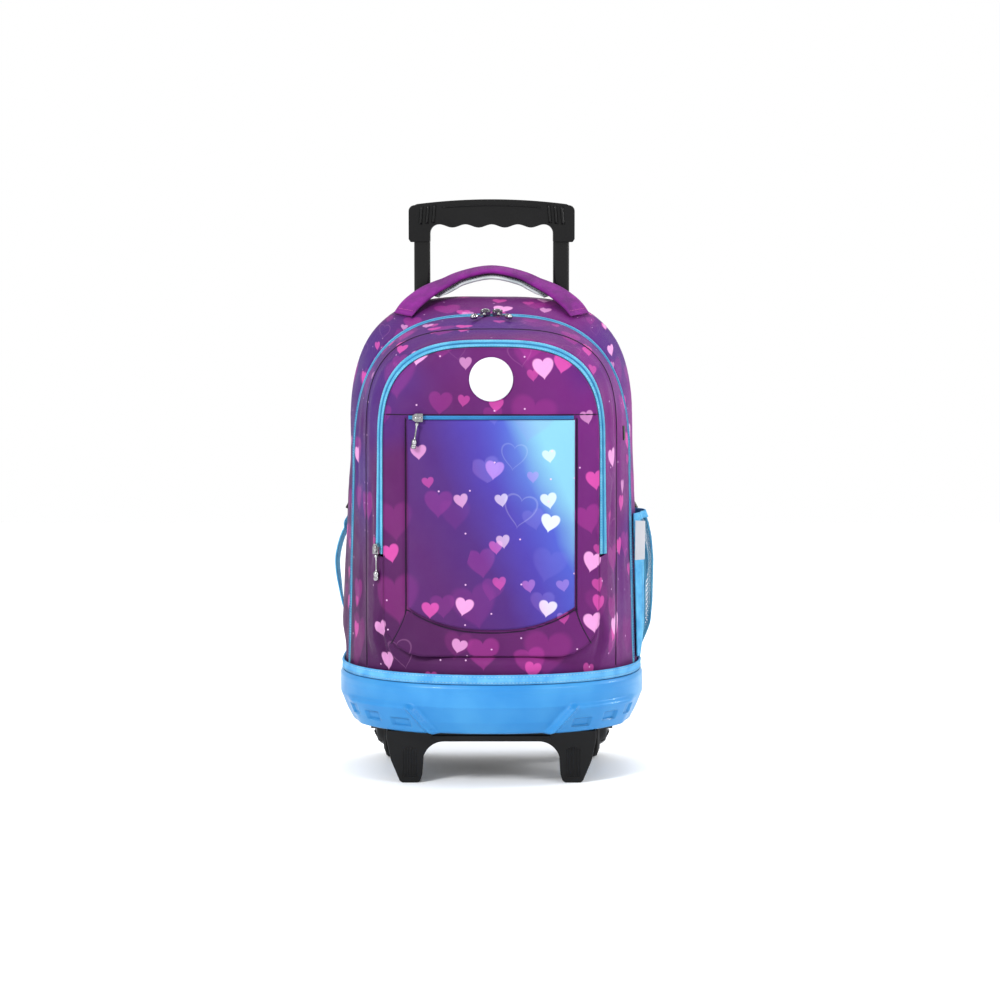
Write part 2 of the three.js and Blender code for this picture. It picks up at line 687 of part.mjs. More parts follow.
function makeStand() {
  const { hip, shin, sole, soleInner, inner, fillet, bar } = STAND;
  const right = [];
  for (let i = 0; i <= 4; i += 1) {
    const angle = (1 - i / 4) * (Math.PI / 2);
    right.push([inner - fillet + fillet * Math.cos(angle), bar - fillet + fillet * Math.sin(angle)]);
  }
  right.push([inner + 0.6, 8], [soleInner - 2.4, 2], [soleInner, 0], [sole, 0], [sole + 2.4, 2],
    [shin, 23], [hip, bar + 3], [hip, STAND_TOP]);
  const left = right.map(([x, z]) => [-x, z]).reverse();
  const stand = upright(polygon([...right, ...left]), -STAND.front, STAND.depth);
  const places = stand.attributes.position;
  for (let i = 0; i < places.count; i += 1) {
    if (places.getY(i) < -STAND.front + 1) {
      places.setY(i, -STAND.front + STAND.lean * (1 - places.getZ(i) / STAND_TOP));
    }
  }
  return stand;
}

function makePlate() {
  const front = -STAND.front + STAND.depth + CLEAR;
  const step = WHEEL_Y - HOUSING_OUT - CLEAR;
  const narrow = CHEEK_X - CLEAR;
  const right = [[PLATE.half, front], [PLATE.half, step], [narrow, step], [narrow, PLATE.back]];
  const left = right.map(([x, y]) => [-x, y]).reverse();
  const plate = extruded(polygon([...right, ...left]), STAND_TOP - STAND.bar);
  plate.translate(0, 0, STAND.bar);
  return plate;
}

// A fender over a wheel, closed on its inner side by the cheek that holds the axle.
function makeHousing() {
  const from = (40 / 180) * Math.PI;
  const to = (178 / 180) * Math.PI;
  const steps = 14;
  const arc = (radius, start, end, count) => range(count + 1).map((i) => {
    const angle = lerp(start, end, i / count);
    return [WHEEL_Y + radius * Math.cos(angle), WHEEL_Z + radius * Math.sin(angle)];
  });
  const fender = polygon([
    ...arc(HOUSING_OUT, from, to, steps),
    ...arc(HOUSING_OUT - HOUSING.wall, to, from, steps),
  ]);
  const cheek = polygon([
    ...arc(HOUSING_OUT, from, to, steps),
    ...arc(HOUSING.boss, 1.15 * Math.PI, 1.85 * Math.PI, 6),
  ]);
  cheek.holes.push(new THREE.Path(arc(AXLE.radius + CLEAR, 2 * Math.PI, 0, 12).slice(0, -1)
    .map(([y, z]) => new THREE.Vector2(y, z))));
  const plate = toSolid(sideways(cheek, CHEEK_X, CHEEK_X + HOUSING.cheek));
  return fromSolid(plate.add(toSolid(sideways(fender, CHEEK_X, WHEEL_END + HOUSING.wall))));
}

// Turned about the wheel's axis: each row gives a radius and a place along the axis.
function turned(profile, sides) {
  const wheel = new THREE.LatheGeometry(profile.map(([r, x]) => new THREE.Vector2(r, x)), sides);
  wheel.rotateZ(-Math.PI / 2);
  wheel.translate(WHEEL.inner, WHEEL_Y, WHEEL_Z);
  return wheel;
}

function makeTyre() {
  const { hub, radius, width, shoulder } = WHEEL;
  return turned([
    [hub + CLEAR, 0], [radius * 0.93, 0], [radius, 3], [radius, width - 4],
    [radius * 0.93, width], [radius * 0.8, shoulder - 0.5], [hub + CLEAR, shoulder], [hub + CLEAR, 0],
  ], 32);
}

function makeHub() {
  const { hub, shoulder, cap } = WHEEL;
  const bore = AXLE.radius + AXLE.running;
  return turned([
    [0, shoulder + cap * 0.3], [bore, shoulder + cap * 0.3], [bore, 0], [hub, 0], [hub, shoulder],
    [hub * 0.92, shoulder + cap * 0.55], [hub * 0.62, shoulder + cap * 0.9], [0, shoulder + cap],
  ], 24);
}

function makeAxle() {
  const end = WHEEL.inner + WHEEL.shoulder + WHEEL.cap * 0.3 - CLEAR;
  return rodX(AXLE.radius, -end, end, WHEEL_Y, WHEEL_Z, 12);
}

// The trolley

function makeTube(stage, bottom, top) {
  const halfX = (TUBE.width + 2 * stage * STAGE / 2) / 2;
  const halfY = (TUBE.depth + 2 * stage * STAGE / 2) / 2;
  const shape = roundedRect(new THREE.Shape(), halfX, halfY, TUBE.corner + stage * STAGE / 2);
  const inside = TUBE.corner + stage * STAGE / 2 - TUBE.wall;
  shape.holes.push(roundedRect(new THREE.Path(), halfX - TUBE.wall, halfY - TUBE.wall, inside));
  const tube = extruded(shape, top - bottom);
  tube.translate(TUBE_X, TUBE_Y, bottom);
  return tube;
}

function makeGuide() {
  const shape = roundedRect(new THREE.Shape(), GUIDE.half, GUIDE.depth / 2, GUIDE.corner);
  const halfX = (TUBE.width + 2 * STAGE) / 2 + CLEAR;
  const halfY = (TUBE.depth + 2 * STAGE) / 2 + CLEAR;
  for (const side of [-1, 1]) {
    shape.holes.push(roundedRect(new THREE.Path(), halfX, halfY, TUBE.corner + STAGE + CLEAR, side * TUBE_X));
  }
  const guide = extruded(shape, GUIDE.height);
  guide.translate(0, TUBE_Y, SLEEVE.top - GUIDE.height);
  return guide;
}

function makeGrip() {
  const { half, top, sag, under, bottom, inner, fillet, corner, wave, waves, bevel } = GRIP;
  const right = [];
  const crown = (x) => top - sag * Math.pow(x / half, 2);
  const grooves = waves * 6;
  for (let i = 0; i <= grooves / 2; i += 1) {
    const x = (i / (grooves / 2)) * (inner - fillet);
    right.push([x, under + wave * Math.cos((x / (inner - fillet)) * waves * Math.PI) - wave]);
  }
  for (let i = 1; i <= 3; i += 1) {
    const angle = (i / 3) * (Math.PI / 2);
    right.push([inner - fillet + fillet * Math.sin(angle), under - fillet + fillet * Math.cos(angle)]);
  }
  right.push([inner, bottom], [half - 2, bottom], [half, bottom + 3], [half, crown(half) - corner]);
  for (let i = 1; i <= 3; i += 1) {
    const angle = (i / 3) * (Math.PI / 2);
    right.push([half - corner + corner * Math.cos(angle), crown(half) - corner + corner * Math.sin(angle)]);
  }
  for (const share of [0.7, 0.45, 0.2]) {
    right.push([half * share, crown(half * share)]);
  }
  const left = right.slice(1).map(([x, z]) => [-x, z]).reverse();
  return upright(polygon([...right, ...left]), TUBE_Y - GRIP.depth / 2 + bevel, GRIP.depth - 2 * bevel, {
    bevelEnabled: true, bevelThickness: bevel, bevelSize: bevel * 0.5, bevelOffset: -bevel * 0.5,
    bevelSegments: 2,
  });
}

// The carry handle

function skinNormal(x, y) {
  const step = 2;
  const slope = (a, b) => (a - b) / (2 * step);
  return point(
    -slope(skinTop(x + step, y), skinTop(x - step, y)),
    -slope(skinTop(x, y + step), skinTop(x, y - step)),
    1,
  ).normalize();
}

function handleStops() {
  const crest = point(0, -0.16, 0.98).normalize();
  const stops = HANDLE_CURVE.map((row) => {
    const x = HANDLE.half * row.across;
    const y = HANDLE.base + HANDLE.lean * row.lean;
    const normal = skinNormal(x, y);
    const face = crest.clone().lerp(normal, Math.pow(row.across, 1.5)).normalize();
    const at = point(x, y, skinTop(x, y) + HANDLE.rise * row.rise);
    at.addScaledVector(normal, CLEAR + HANDLE.tail / 2);
    return { at, face };
  });
  const left = stops.slice(1).map(({ at, face }) => (
    { at: point(-at.x, at.y, at.z), face: point(-face.x, face.y, face.z) }
  ));
  return [...left.reverse(), ...stops];
}

function makeHandle() {
  const swell = (t) => smooth(0, 0.14, Math.min(t, 1 - t));
  return band(handleStops(), HANDLE_STEPS, () => HANDLE.width,
    (t) => lerp(HANDLE.tail, HANDLE.cover, swell(t)));
}

function makeHandlePad() {
  const drop = HANDLE.cover / 2 + 2 * CLEAR + HANDLE.pad / 2;
  return band(handleStops(), HANDLE_STEPS - 2 * PAD_SKIP, () => HANDLE.width - 3,
    (t) => lerp(1.2, HANDLE.pad, smooth(0, 0.1, Math.min(t, 1 - t))),
    { from: PAD_SKIP / HANDLE_STEPS, to: 1 - PAD_SKIP / HANDLE_STEPS, drop });
}

// The shoulder straps

const sleeveUp = (share) => lerp(RIM_TOP, SLEEVE.top, share);

function strapStops() {
  return STRAP_CURVE.map((row) => ({
    at: point(
      BODY.half * row.across,
      SLEEVE_BACK + CLEAR + STRAP.thick / 2 + STRAP.bow * row.out,
      sleeveUp(row.up),
    ),
    face: point(0, 1, 0),
  }));
}

function strapEnd() {
  const stops = strapStops();
  const path = new THREE.CatmullRomCurve3(stops.map((stop) => stop.at));
  return { at: path.getPoint(1), along: path.getTangent(1) };
}

function makeStrap() {
  return band(strapStops(), 14, (t) => STRAP.width * lerp(1, 0.72, smooth(0.5, 1, t)),
    (t) => STRAP.thick * lerp(0.5, 1, smooth(0, 0.08, 1 - t)));
}

function makeLock() {
  const { at, along } = strapEnd();
  const stops = [0, 0.5, 1].map((t) => ({
    at: at.clone().addScaledVector(along, CLEAR + t * LOCK.length),
    face: point(0, 1, 0),
  }));
  return band(stops, 2, () => LOCK.width, () => LOCK.thick);
}

function sleeveSide(y, z) {
  const back = clamp((y - SLEEVE_FRONT) / SLEEVE.depth, 0, 1);
  const x = sleeveHalf(z) * Math.pow(1 - Math.pow(back, SLEEVE.power), 1 / SLEEVE.power);
  return tucked(x, y, z).x;
}

function makeWebbing() {
  const { at, along } = strapEnd();
  const stops = [0, WEB.width / 2].map((reach) => ({
    at: at.clone().addScaledVector(along, 3 * CLEAR + LOCK.length + reach),
    face: point(0, 1, 0),
  }));
  for (const row of WEB_CURVE) {
    const spot = point(
      BODY.half + WEB.out * row.out,
      SLEEVE_FRONT + SLEEVE.depth * row.back,
      sleeveUp(row.up),
    );
    stops.push({ at: spot, face: point(1, 0.15, 0) });
  }
  const foot = stops[stops.length - 1].at;
  foot.x = sleeveSide(foot.y, foot.z) + CLEAR + WEB.thick / 2;
  return band(stops, 18, () => WEB.width, () => WEB.thick);
}

// The bottle pocket on the right side

function pocketPoint(along, up, out) {
  const y = lerp(POCKET.front, POCKET.back, along);
  const z = lerp(RIM_TOP + POCKET.foot, RIM_TOP + POCKET.height, up);
  const skin = tucked(halfAt(rowAt(shareAt(y)), z), y, z);
  const bulge = POCKET.bulge * outAt(POCKET_UP, up) * outAt(POCKET_ALONG, along);
  skin.x += CLEAR + bulge + out;
  return skin;
}

function pocketSheet(alongs, ups, low, high) {
  const surface = (out) => alongs.map((along) => ups.map((up) => pocketPoint(along, up, out)));
  return sheet(surface(high), surface(low));
}

const POCKET_ROWS = POCKET_UP.map((row) => row.at);

function makeBottlePocket() {
  return pocketSheet([0.0, 0.08, 0.15, 0.22, 0.3, 0.36, 0.42, 0.48, 0.55, 0.62, 0.7, 0.78, 0.85,
    0.93, 1], POCKET_ROWS, 0, POCKET.wall);
}

function makePocketBinding() {
  const base = POCKET.wall + CLEAR;
  return pocketSheet([-0.05, 0, 0.08, 0.15], POCKET_ROWS, base, base + POCKET.binding);
}

function makePocketMouth() {
  const base = POCKET.wall + CLEAR;
  return pocketSheet([0.17, 0.22, 0.3, 0.36, 0.42, 0.48, 0.55, 0.62, 0.7, 0.78, 0.85, 0.93, 1],
    [0.95, 1], base, base + POCKET.binding);
}

function makeTag() {
  const front = POCKET.front - 0.05 * (POCKET.back - POCKET.front) - CLEAR;
  const top = RIM_TOP + TAG.top;
  const left = pocketPoint(-0.05, 0.6, POCKET.wall + CLEAR).x;
  const tag = new THREE.BoxGeometry(TAG.width, TAG.thick, TAG.height);
  tag.translate(left + TAG.width / 2, front - TAG.thick / 2, top - TAG.height / 2);
  return tag;
}

// Zip sliders and their pulls

function orient(geometry, at, along, normal) {
  const side = normal.clone().cross(along).normalize();
  const up = along.clone().cross(side).normalize();
  geometry.applyMatrix4(new THREE.Matrix4().makeBasis(along.clone().normalize(), side, up)
    .setPosition(at));
  return geometry;
}

function makeSlider(at, along, normal) {
  const { length, width, height } = SLIDER;
  const body = extruded(polygon([[-length / 2, -width / 2], [length * 0.2, -width / 2],
    [length / 2, -width / 4], [length / 2, width / 4], [length * 0.2, width / 2],
    [-length / 2, width / 2]]), height);
  return orient(body, at.clone().addScaledVector(normal, SLIDER.lift), along, normal);
}

function makePull(from, towards) {
  const { length, rod, knob, knobLength } = PULL;
  const neck = length - knobLength;
  const rows = [[0, 0], [knob * 0.7, 0.8], [knob * 0.7, 2.2], [rod, 3.4], [rod, neck],
    [knob, neck + 1], [knob, length - 1.5], [0, length]];
  const pull = new THREE.LatheGeometry(rows.map(([r, y]) => new THREE.Vector2(r, y)), 8);
  const turn = new THREE.Quaternion().setFromUnitVectors(point(0, 1, 0), towards.clone().normalize());
  pull.applyQuaternion(turn);
  pull.translate(from.x, from.y, from.z);
  return pull;
}

function addPulls() {
  const zipTop = rowAt(ZIP_AT);
  const beside = SLIDER.length / 2 + 1;
  const crest = point(beside, zipTop.y, topAt(zipTop, beside));
  const normal = skinNormal(beside, zipTop.y);
  const across = point(1, 0, 0);
  const ahead = across.clone().cross(normal);
  addPair('zip_slider_main', makeSlider(crest, across, normal), 'steel');
  const start = crest.clone().addScaledVector(normal, SLIDER.lift + SLIDER.height / 2)
    .addScaledVector(ahead, SLIDER.width / 2 + 2 * CLEAR);
  addPair('zip_pull_main', makePull(start, point(0.5, -0.85, -0.08)), 'steel');

  const bend = skinRing(BEND_AT);
  const edge = faceRing();
  const side = bend[ABOVE_ZIP_END].clone().lerp(edge[ABOVE_ZIP_END], 0.5);
  const outward = point(-0.72, -0.69, 0).normalize();
  side.z += SLIDER.length / 2;
  add('zip_slider_pocket', makeSlider(side, point(0, 0, 1), outward), 'steel');
  const hang = side.clone().addScaledVector(outward, PULL.knob + CLEAR);
  hang.z -= SLIDER.length / 2 + CLEAR;
  add('zip_pull_pocket', makePull(hang, point(0, 0, -1)), 'steel');

  const x = -PANEL.half + SLIDER.length;
  const z = PANEL.top + 0.6 + ZIP.panel / 2;
  const seat = onFace(x, z, PANEL.thick);
  add('zip_slider_panel', makeSlider(seat, point(-1, 0, 0), point(0, -1, 0)), 'steel');
  const drop = onFace(x, z - SLIDER.width / 2 - CLEAR, PANEL.thick + PANEL.puff + PULL.knob + CLEAR);
  add('zip_pull_panel', makePull(drop, point(-0.15, 0, -1)), 'steel');
}

// The whole

add('base_tray', makeTray(), 'tray');
add('base_rim', makeRim(), 'rim');
add('front_stand', makeStand(), 'black');
add('chassis_plate', makePlate(), 'black');
addPair('wheel_housing', makeHousing(), 'black');
add('axle', makeAxle(), 'steel');
addPair('tyre', makeTyre(), 'rubber');
addPair('hub', makeHub(), 'black');

add('main_shell', makeMainShell(), 'fabric');
add('main_zip', makeMainZip(), 'zip');
add('front_shell', makeFrontShell(), 'fabric');
add('pocket_gusset', makeGusset(), 'fabric');
add('pocket_zip', makePocketZip(), 'zip');
add('pocket_face', makeFace(), 'fabric');
add('center_panel', makePanel(), 'panel');
add('panel_zip', makePanelZip(), 'zip');
add('badge', makeBadge(), 'badge');
add('back_sleeve', makeSleeve(), 'fabric');

addPair('outer_tube', makeTube(2, TRAY.bottom + TRAY.wall + CLEAR, SLEEVE.top + TUBE.outerOver), 'tube');
addPair('middle_tube', makeTube(1, TUBE.middleTop - TUBE.middleLength, TUBE.middleTop), 'tube');
addPair('inner_tube', makeTube(0, GRIP.bottom - CLEAR - TUBE.innerLength, GRIP.bottom - CLEAR), 'tube');
add('tube_guide', makeGuide(), 'black');
add('trolley_grip', makeGrip(), 'black');

add('carry_handle', makeHandle(), 'fabric');
add('handle_pad', makeHandlePad(), 'airmesh');
addPair('shoulder_strap', makeStrap(), 'fabric');
addPair('strap_adjuster', makeLock(), 'black');
addPair('strap_webbing', makeWebbing(), 'zip');

add('bottle_pocket', makeBottlePocket(), 'mesh');
add('bottle_pocket_binding', makePocketBinding(), 'zip');
add('bottle_pocket_mouth', makePocketMouth(), 'zip');
add('side_tag', makeTag(), 'badge');
addPulls();

export default backpack;
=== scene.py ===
"""The looks of a wheeled school backpack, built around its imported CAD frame."""
import math

import bmesh
import bpy
import numpy as np
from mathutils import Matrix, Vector, noise


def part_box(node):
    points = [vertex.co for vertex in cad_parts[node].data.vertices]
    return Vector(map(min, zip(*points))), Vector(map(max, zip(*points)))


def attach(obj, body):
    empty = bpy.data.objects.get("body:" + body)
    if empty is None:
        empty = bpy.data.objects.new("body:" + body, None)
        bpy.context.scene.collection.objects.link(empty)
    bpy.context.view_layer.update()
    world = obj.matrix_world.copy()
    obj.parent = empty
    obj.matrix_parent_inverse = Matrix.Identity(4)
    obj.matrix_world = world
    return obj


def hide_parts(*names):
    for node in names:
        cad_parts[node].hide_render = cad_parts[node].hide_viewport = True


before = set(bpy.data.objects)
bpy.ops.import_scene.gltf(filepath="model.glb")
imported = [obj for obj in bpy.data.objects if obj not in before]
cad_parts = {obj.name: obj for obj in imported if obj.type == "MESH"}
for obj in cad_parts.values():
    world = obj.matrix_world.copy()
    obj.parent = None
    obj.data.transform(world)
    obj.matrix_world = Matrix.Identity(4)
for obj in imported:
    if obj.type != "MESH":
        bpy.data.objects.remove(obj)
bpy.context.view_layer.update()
MM = 0.001
SIDES = ((-1, "left"), (1, "right"))

# Sizes in millimetres, read from the frame where a node gives them


def span(node):
    """A CAD node's lowest and highest corner in millimetres."""
    low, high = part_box(node)
    return [v / MM for v in low], [v / MM for v in high]


CLEAR = 0.3
TRAY_LOW, TRAY_HIGH = span("base_tray")
RIM_LOW, RIM_HIGH = span("base_rim")
RIM_TOP = RIM_HIGH[2]
RIM_WALL = 3.0
TRAY_BOTTOM, TRAY_TOP, TRAY_CENTRE = TRAY_LOW[2], TRAY_HIGH[2], 20.0
TRAY_HALF = RIM_HIGH[0]
TRAY_FRONT, TRAY_BACK = TRAY_CENTRE - RIM_LOW[1], RIM_HIGH[1] - TRAY_CENTRE
FRONT_POWER, BACK_POWER = 2.2, 5.0
SEAT = 0.8

BODY_BACK = span("main_shell")[1][1]
BODY_HALF, BODY_TOP, BODY_FRONT = 151.5, 477.0, 97.0
BODY_DEPTH = BODY_BACK + BODY_FRONT
INSIDE = np.array([0.0, BODY_BACK, 250.0])
FOOT_Z = span("main_shell")[0][2]
HANG = RIM_TOP + 36
WALL, CORNER, HEEL_RISE, HEEL_FADE = 2.0, 12.0, 12.0, 40.0
ZIP_END, ZIP_WIDTH = 228.0, 5.4
CROWN, FACE_FOOT = 8.5, 130.5
PANEL_HALF, PANEL_TOP, PANEL_SIDE, PANEL_MIDDLE = 80.5, 360.0, 179.0, 157.0
BADGE_RADIUS, BADGE_Z = 21.2, 399.0
SLEEVE_LOW, SLEEVE_HIGH = span("back_sleeve")
SLEEVE_FRONT, SLEEVE_DEPTH = SLEEVE_LOW[1], SLEEVE_HIGH[1] - SLEEVE_LOW[1]
SLEEVE_TOP = SLEEVE_HIGH[2]

# Rows of the bag's outline from its back to its front, as shares of the sizes above
SKIN_COLUMNS = ("depth", "foot", "half", "taper", "spring", "top", "power")
SKIN = [dict(zip(SKIN_COLUMNS, row)) for row in (
    (0.0, 0.0, 0.937, 0.05, 0.551, 0.972, 3.2),
    (0.031, 0.031, 0.977, 0.05, 0.562, 0.992, 3.3),
    (0.098, 0.098, 0.997, 0.05, 0.567, 1.0, 3.3),
    (0.221, 0.221, 1.0, 0.05, 0.567, 0.996, 3.3),
    (0.344, 0.344, 0.974, 0.04, 0.545, 0.975, 3.1),
    (0.472, 0.472, 0.934, 0.025, 0.512, 0.95, 2.8),
    (0.62, 0.65, 0.871, 0.012, 0.554, 0.935, 3.0),
    (0.755, 0.81, 0.809, 0.0, 0.595, 0.915, 3.2),
    (0.847, 0.97, 0.799, 0.01, 0.595, 0.904, 3.1),
    (0.933, 1.06, 0.759, 0.02, 0.595, 0.892, 3.0),
)]
ZIP_AT, SEAM_AT, BEND_AT = SKIN[5]["depth"], SKIN[7]["depth"], SKIN[9]["depth"]


def lerp(a, b, t):
    return a + (b - a) * t


def clamp(value, low=0.0, high=1.0):
    return min(high, max(low, value))


def smooth(start, end, value):
    t = clamp((value - start) / (end - start))
    return t * t * (3 - 2 * t)


def between(start, end, count):
    return [lerp(start, end, i / (count - 1)) for i in range(count)]


def circle(count):
    """The cosine and sine of even steps round a circle."""
    return [(math.cos(2 * math.pi * k / count), math.sin(2 * math.pi * k / count)) for k in range(count)]


def signed_power(value, power):
    return math.copysign(abs(value) ** power, value)


def unit(vectors):
    """Vectors brought to length one, along the last axis."""
    return vectors / np.maximum(np.linalg.norm(vectors, axis=-1, keepdims=True), 1e-9)


# The skin of the bag, as the CAD pieces follow it


def row_at(share):
    k = next((i for i, row in enumerate(SKIN) if row["depth"] >= share), len(SKIN) - 1)
    k = max(k, 1)
    a, b = SKIN[k - 1], SKIN[k]
    t = (share - a["depth"]) / (b["depth"] - a["depth"])
    mix = {key: lerp(a[key], b[key], t) for key in SKIN_COLUMNS}
    return {
        "y": BODY_BACK - share * BODY_DEPTH,
        "foot_y": BODY_BACK - mix["foot"] * BODY_DEPTH,
        "half": mix["half"] * BODY_HALF,
        "taper": mix["taper"],
        "spring": lerp(RIM_TOP, BODY_TOP, mix["spring"]),
        "top": lerp(RIM_TOP, BODY_TOP, mix["top"]),
        "power": mix["power"],
        "foot": FOOT_Z + HEEL_RISE * smooth(SEAM_AT, BEND_AT, share),
        "corner": CORNER,
    }


FACE_ROW = {
    "half": 0.692 * BODY_HALF, "taper": 0.0,
    "spring": lerp(RIM_TOP, BODY_TOP, 0.595), "top": lerp(RIM_TOP, BODY_TOP, 0.87),
    "power": 3.0, "foot": FACE_FOOT, "corner": 0.23 * BODY_HALF,
}


def half_at(row, z):
    straight = row["half"] - row["taper"] * (min(z, row["spring"]) - HANG)
    rise = clamp((z - row["spring"]) / (row["top"] - row["spring"]))
    return straight * (1 - rise ** row["power"]) ** (1 / row["power"])


def top_at(row, x):
    share = clamp(abs(x) / half_at(row, row["spring"]))
    return lerp(row["spring"], row["top"], (1 - share ** row["power"]) ** (1 / row["power"]))


def share_at(y):
    return (BODY_BACK - y) / BODY_DEPTH


def skin_top(x, y):
    return top_at(row_at(share_at(y)), x)


def tucked(x, y, z, inset=0.0):
    """A point drawn in where it goes down inside the rim."""
    weight = 1 - smooth(RIM_TOP + 4, HANG, z)
    ahead = y < TRAY_CENTRE
    room = RIM_WALL + SEAT + inset
    deep = (TRAY_FRONT if ahead else TRAY_BACK) - room
    power = FRONT_POWER if ahead else BACK_POWER
    total = (abs(x) / (TRAY_HALF - room)) ** power + (abs(y - TRAY_CENTRE) / deep) ** power
    scale = lerp(1, total ** (-1 / power), weight) if total > 1 else 1.0
    return (x * scale, TRAY_CENTRE + (y - TRAY_CENTRE) * scale, z)


# Points of an outline: along half its foot, round its corner, up its side and over its arch
FOOT_STEPS, CORNER_STEPS, LOW_STEPS, HIGH_STEPS, ARCH_STEPS = 6, 5, 13, 8, 30
SIDE_START = FOOT_STEPS + CORNER_STEPS
ABOVE_ZIP_END = SIDE_START + LOW_STEPS
ZIP_STOP = 1.5


def half_arch(row, inset):
    """Half of an arched outline in X and Z, from the middle of its foot up its left side."""
    foot = row["foot"] + inset
    corner = max(row["corner"] - inset, 1.0)
    flat = half_at(row, foot) - inset - corner
    heel, below = foot + corner, ZIP_END - ZIP_STOP
    seat = max(RIM_TOP + 2, lerp(heel, below, 0.1))
    spots = [(-flat * i / FOOT_STEPS, foot) for i in range(FOOT_STEPS)]
    spots += [(-flat - corner * math.sin(a), heel - corner * math.cos(a))
              for a in between(0, math.pi / 2, CORNER_STEPS)]
    heights = between(seat, below, LOW_STEPS) + between(ZIP_END + ZIP_STOP, row["spring"], HIGH_STEPS)
    spots += [(-(half_at(row, z) - inset), z) for z in heights]
    half = half_at(row, row["spring"]) - inset
    for angle in between(0, math.pi / 2, ARCH_STEPS + 1)[1:]:
        across, up = (max(v, 0) ** (2 / row["power"]) for v in (math.cos(angle), math.sin(angle)))
        spots.append((-across * half, lerp(row["spring"], row["top"] - inset, up)))
    spots[-1] = (0.0, spots[-1][1])
    return spots


def arch_ring(row, inset, depth_at):
    left = half_arch(row, inset)
    right = [(-x, z) for x, z in reversed(left[1:-1])]
    return np.array([tucked(x, depth_at(x, z), z, inset) for x, z in left + right])


def skin_ring(share, inset=0.0):
    row = row_at(share)
    heel = row["foot"] + row["corner"]

    def depth_at(x, z):
        low = 1 - smooth(heel, heel + HEEL_FADE, z)
        inward = 1 - clamp(abs(x) / max(half_at(row, z), 1)) ** 2.5
        return lerp(row["y"], row["foot_y"], low * inward)

    return arch_ring(row, inset, depth_at)


def face_y(x, z):
    up = max(0, (z - FACE_ROW["spring"]) / (FACE_ROW["top"] - FACE_ROW["spring"]))
    edge = min((abs(x) / FACE_ROW["half"]) ** 3 + up ** 3, 1)
    return -BODY_FRONT - CROWN * (1 - edge ** (4 / 3))


def face_ring(inset=0.0):
    return arch_ring(FACE_ROW, inset, face_y)


# Meshes from grids of points


def grid_normals(grid, closed):
    """Normals of a grid, its rows going round the bag where it is closed."""
    if closed:
        around = np.roll(grid, -1, axis=0) - np.roll(grid, 1, axis=0)
    else:
        around = np.gradient(grid, axis=0)
    return unit(np.cross(around, np.gradient(grid, axis=1)))


def outward(spots, normals):
    """The same normals, all turned over if most of them look into the bag."""
    away = np.sum(normals * (spots - INSIDE), axis=-1)
    return normals * np.sign(np.sum(np.sign(away)))


def make_object(name, points, faces, material, prints=None, merge=False):
    """A smooth piece from points in millimetres, with its place on the print if it has one."""
    mesh = bpy.data.meshes.new(name)
    mesh.from_pydata([tuple(float(v) * MM for v in p) for p in points], [], faces)
    if prints is not None:
        layer = mesh.attributes.new("print", "FLOAT2", "POINT")
        layer.data.foreach_set("vector", (np.asarray(prints, dtype=float) * MM).ravel())
    bm = bmesh.new()
    bm.from_mesh(mesh)
    if merge:
        bmesh.ops.remove_doubles(bm, verts=bm.verts[:], dist=1e-6)
    bmesh.ops.recalc_face_normals(bm, faces=bm.faces)
    bm.to_mesh(mesh)
    bm.free()
    mesh.polygons.foreach_set("use_smooth", [True] * len(mesh.polygons))
    mesh.materials.append(MATERIALS[material])
    mesh.update()
    piece = bpy.data.objects.new(name, mesh)
    bpy.context.scene.collection.objects.link(piece)
    return piece


def tube_faces(rows, count, capped=True):
    """Faces between rows of points, each row a ring of count points."""
    faces = []
    for start in range(0, (rows - 1) * count, count):
        for k in range(count):
            m = (k + 1) % count
            faces.append((start + k, start + m, start + count + m, start + count + k))
    if capped:
        faces += [tuple(range(count)), tuple(range((rows - 1) * count, rows * count))]
    return faces


def tube_piece(name, rings, material, prints=None, capped=True):
    points = np.array(rings, dtype=float)
    faces = tube_faces(points.shape[0], points.shape[1], capped)
    return make_object(name, points.reshape(-1, 3), faces, material, prints)


def sheet_faces(rows, columns, closed):
    """Faces of a sheet with two sides of rows by columns points, its edges closed."""
    def at(side, i, j):
        return side * rows * columns + (i % rows) * columns + j

    faces = []
    last = columns - 1
    for i in range(rows if closed else rows - 1):
        for j in range(last):
            faces.append((at(0, i, j), at(0, i + 1, j), at(0, i + 1, j + 1), at(0, i, j + 1)))
            faces.append((at(1, i, j), at(1, i, j + 1), at(1, i + 1, j + 1), at(1, i + 1, j)))
        faces.append((at(0, i, 0), at(1, i, 0), at(1, i + 1, 0), at(0, i + 1, 0)))
        faces.append((at(0, i, last), at(0, i + 1, last), at(1, i + 1, last), at(1, i, last)))
    if not closed:
        end = rows - 1
        for j in range(last):
            faces.append((at(0, 0, j), at(0, 0, j + 1), at(1, 0, j + 1), at(1, 0, j)))
            faces.append((at(0, end, j), at(1, end, j), at(1, end, j + 1), at(0, end, j + 1)))
    return faces


# How much of the print faces forward at the front and at the back, and the change between them
FRONT_HOLD, BACK_HOLD, BACK_FADE = 0.15, 0.003, 60.0
PRINT_BLUR = 16


def blurred(field, closed):
    """A grid of values with its small changes smoothed out."""
    for _ in range(PRINT_BLUR):
        wide = np.pad(field, ((1, 1), (0, 0)), mode="wrap" if closed else "edge")
        field = (wide[:-2] + 2 * field + wide[2:]) / 4
        wide = np.pad(field, ((0, 0), (1, 1)), mode="edge")
        field = (wide[:, :-2] + 2 * field + wide[:, 2:]) / 4
    return field


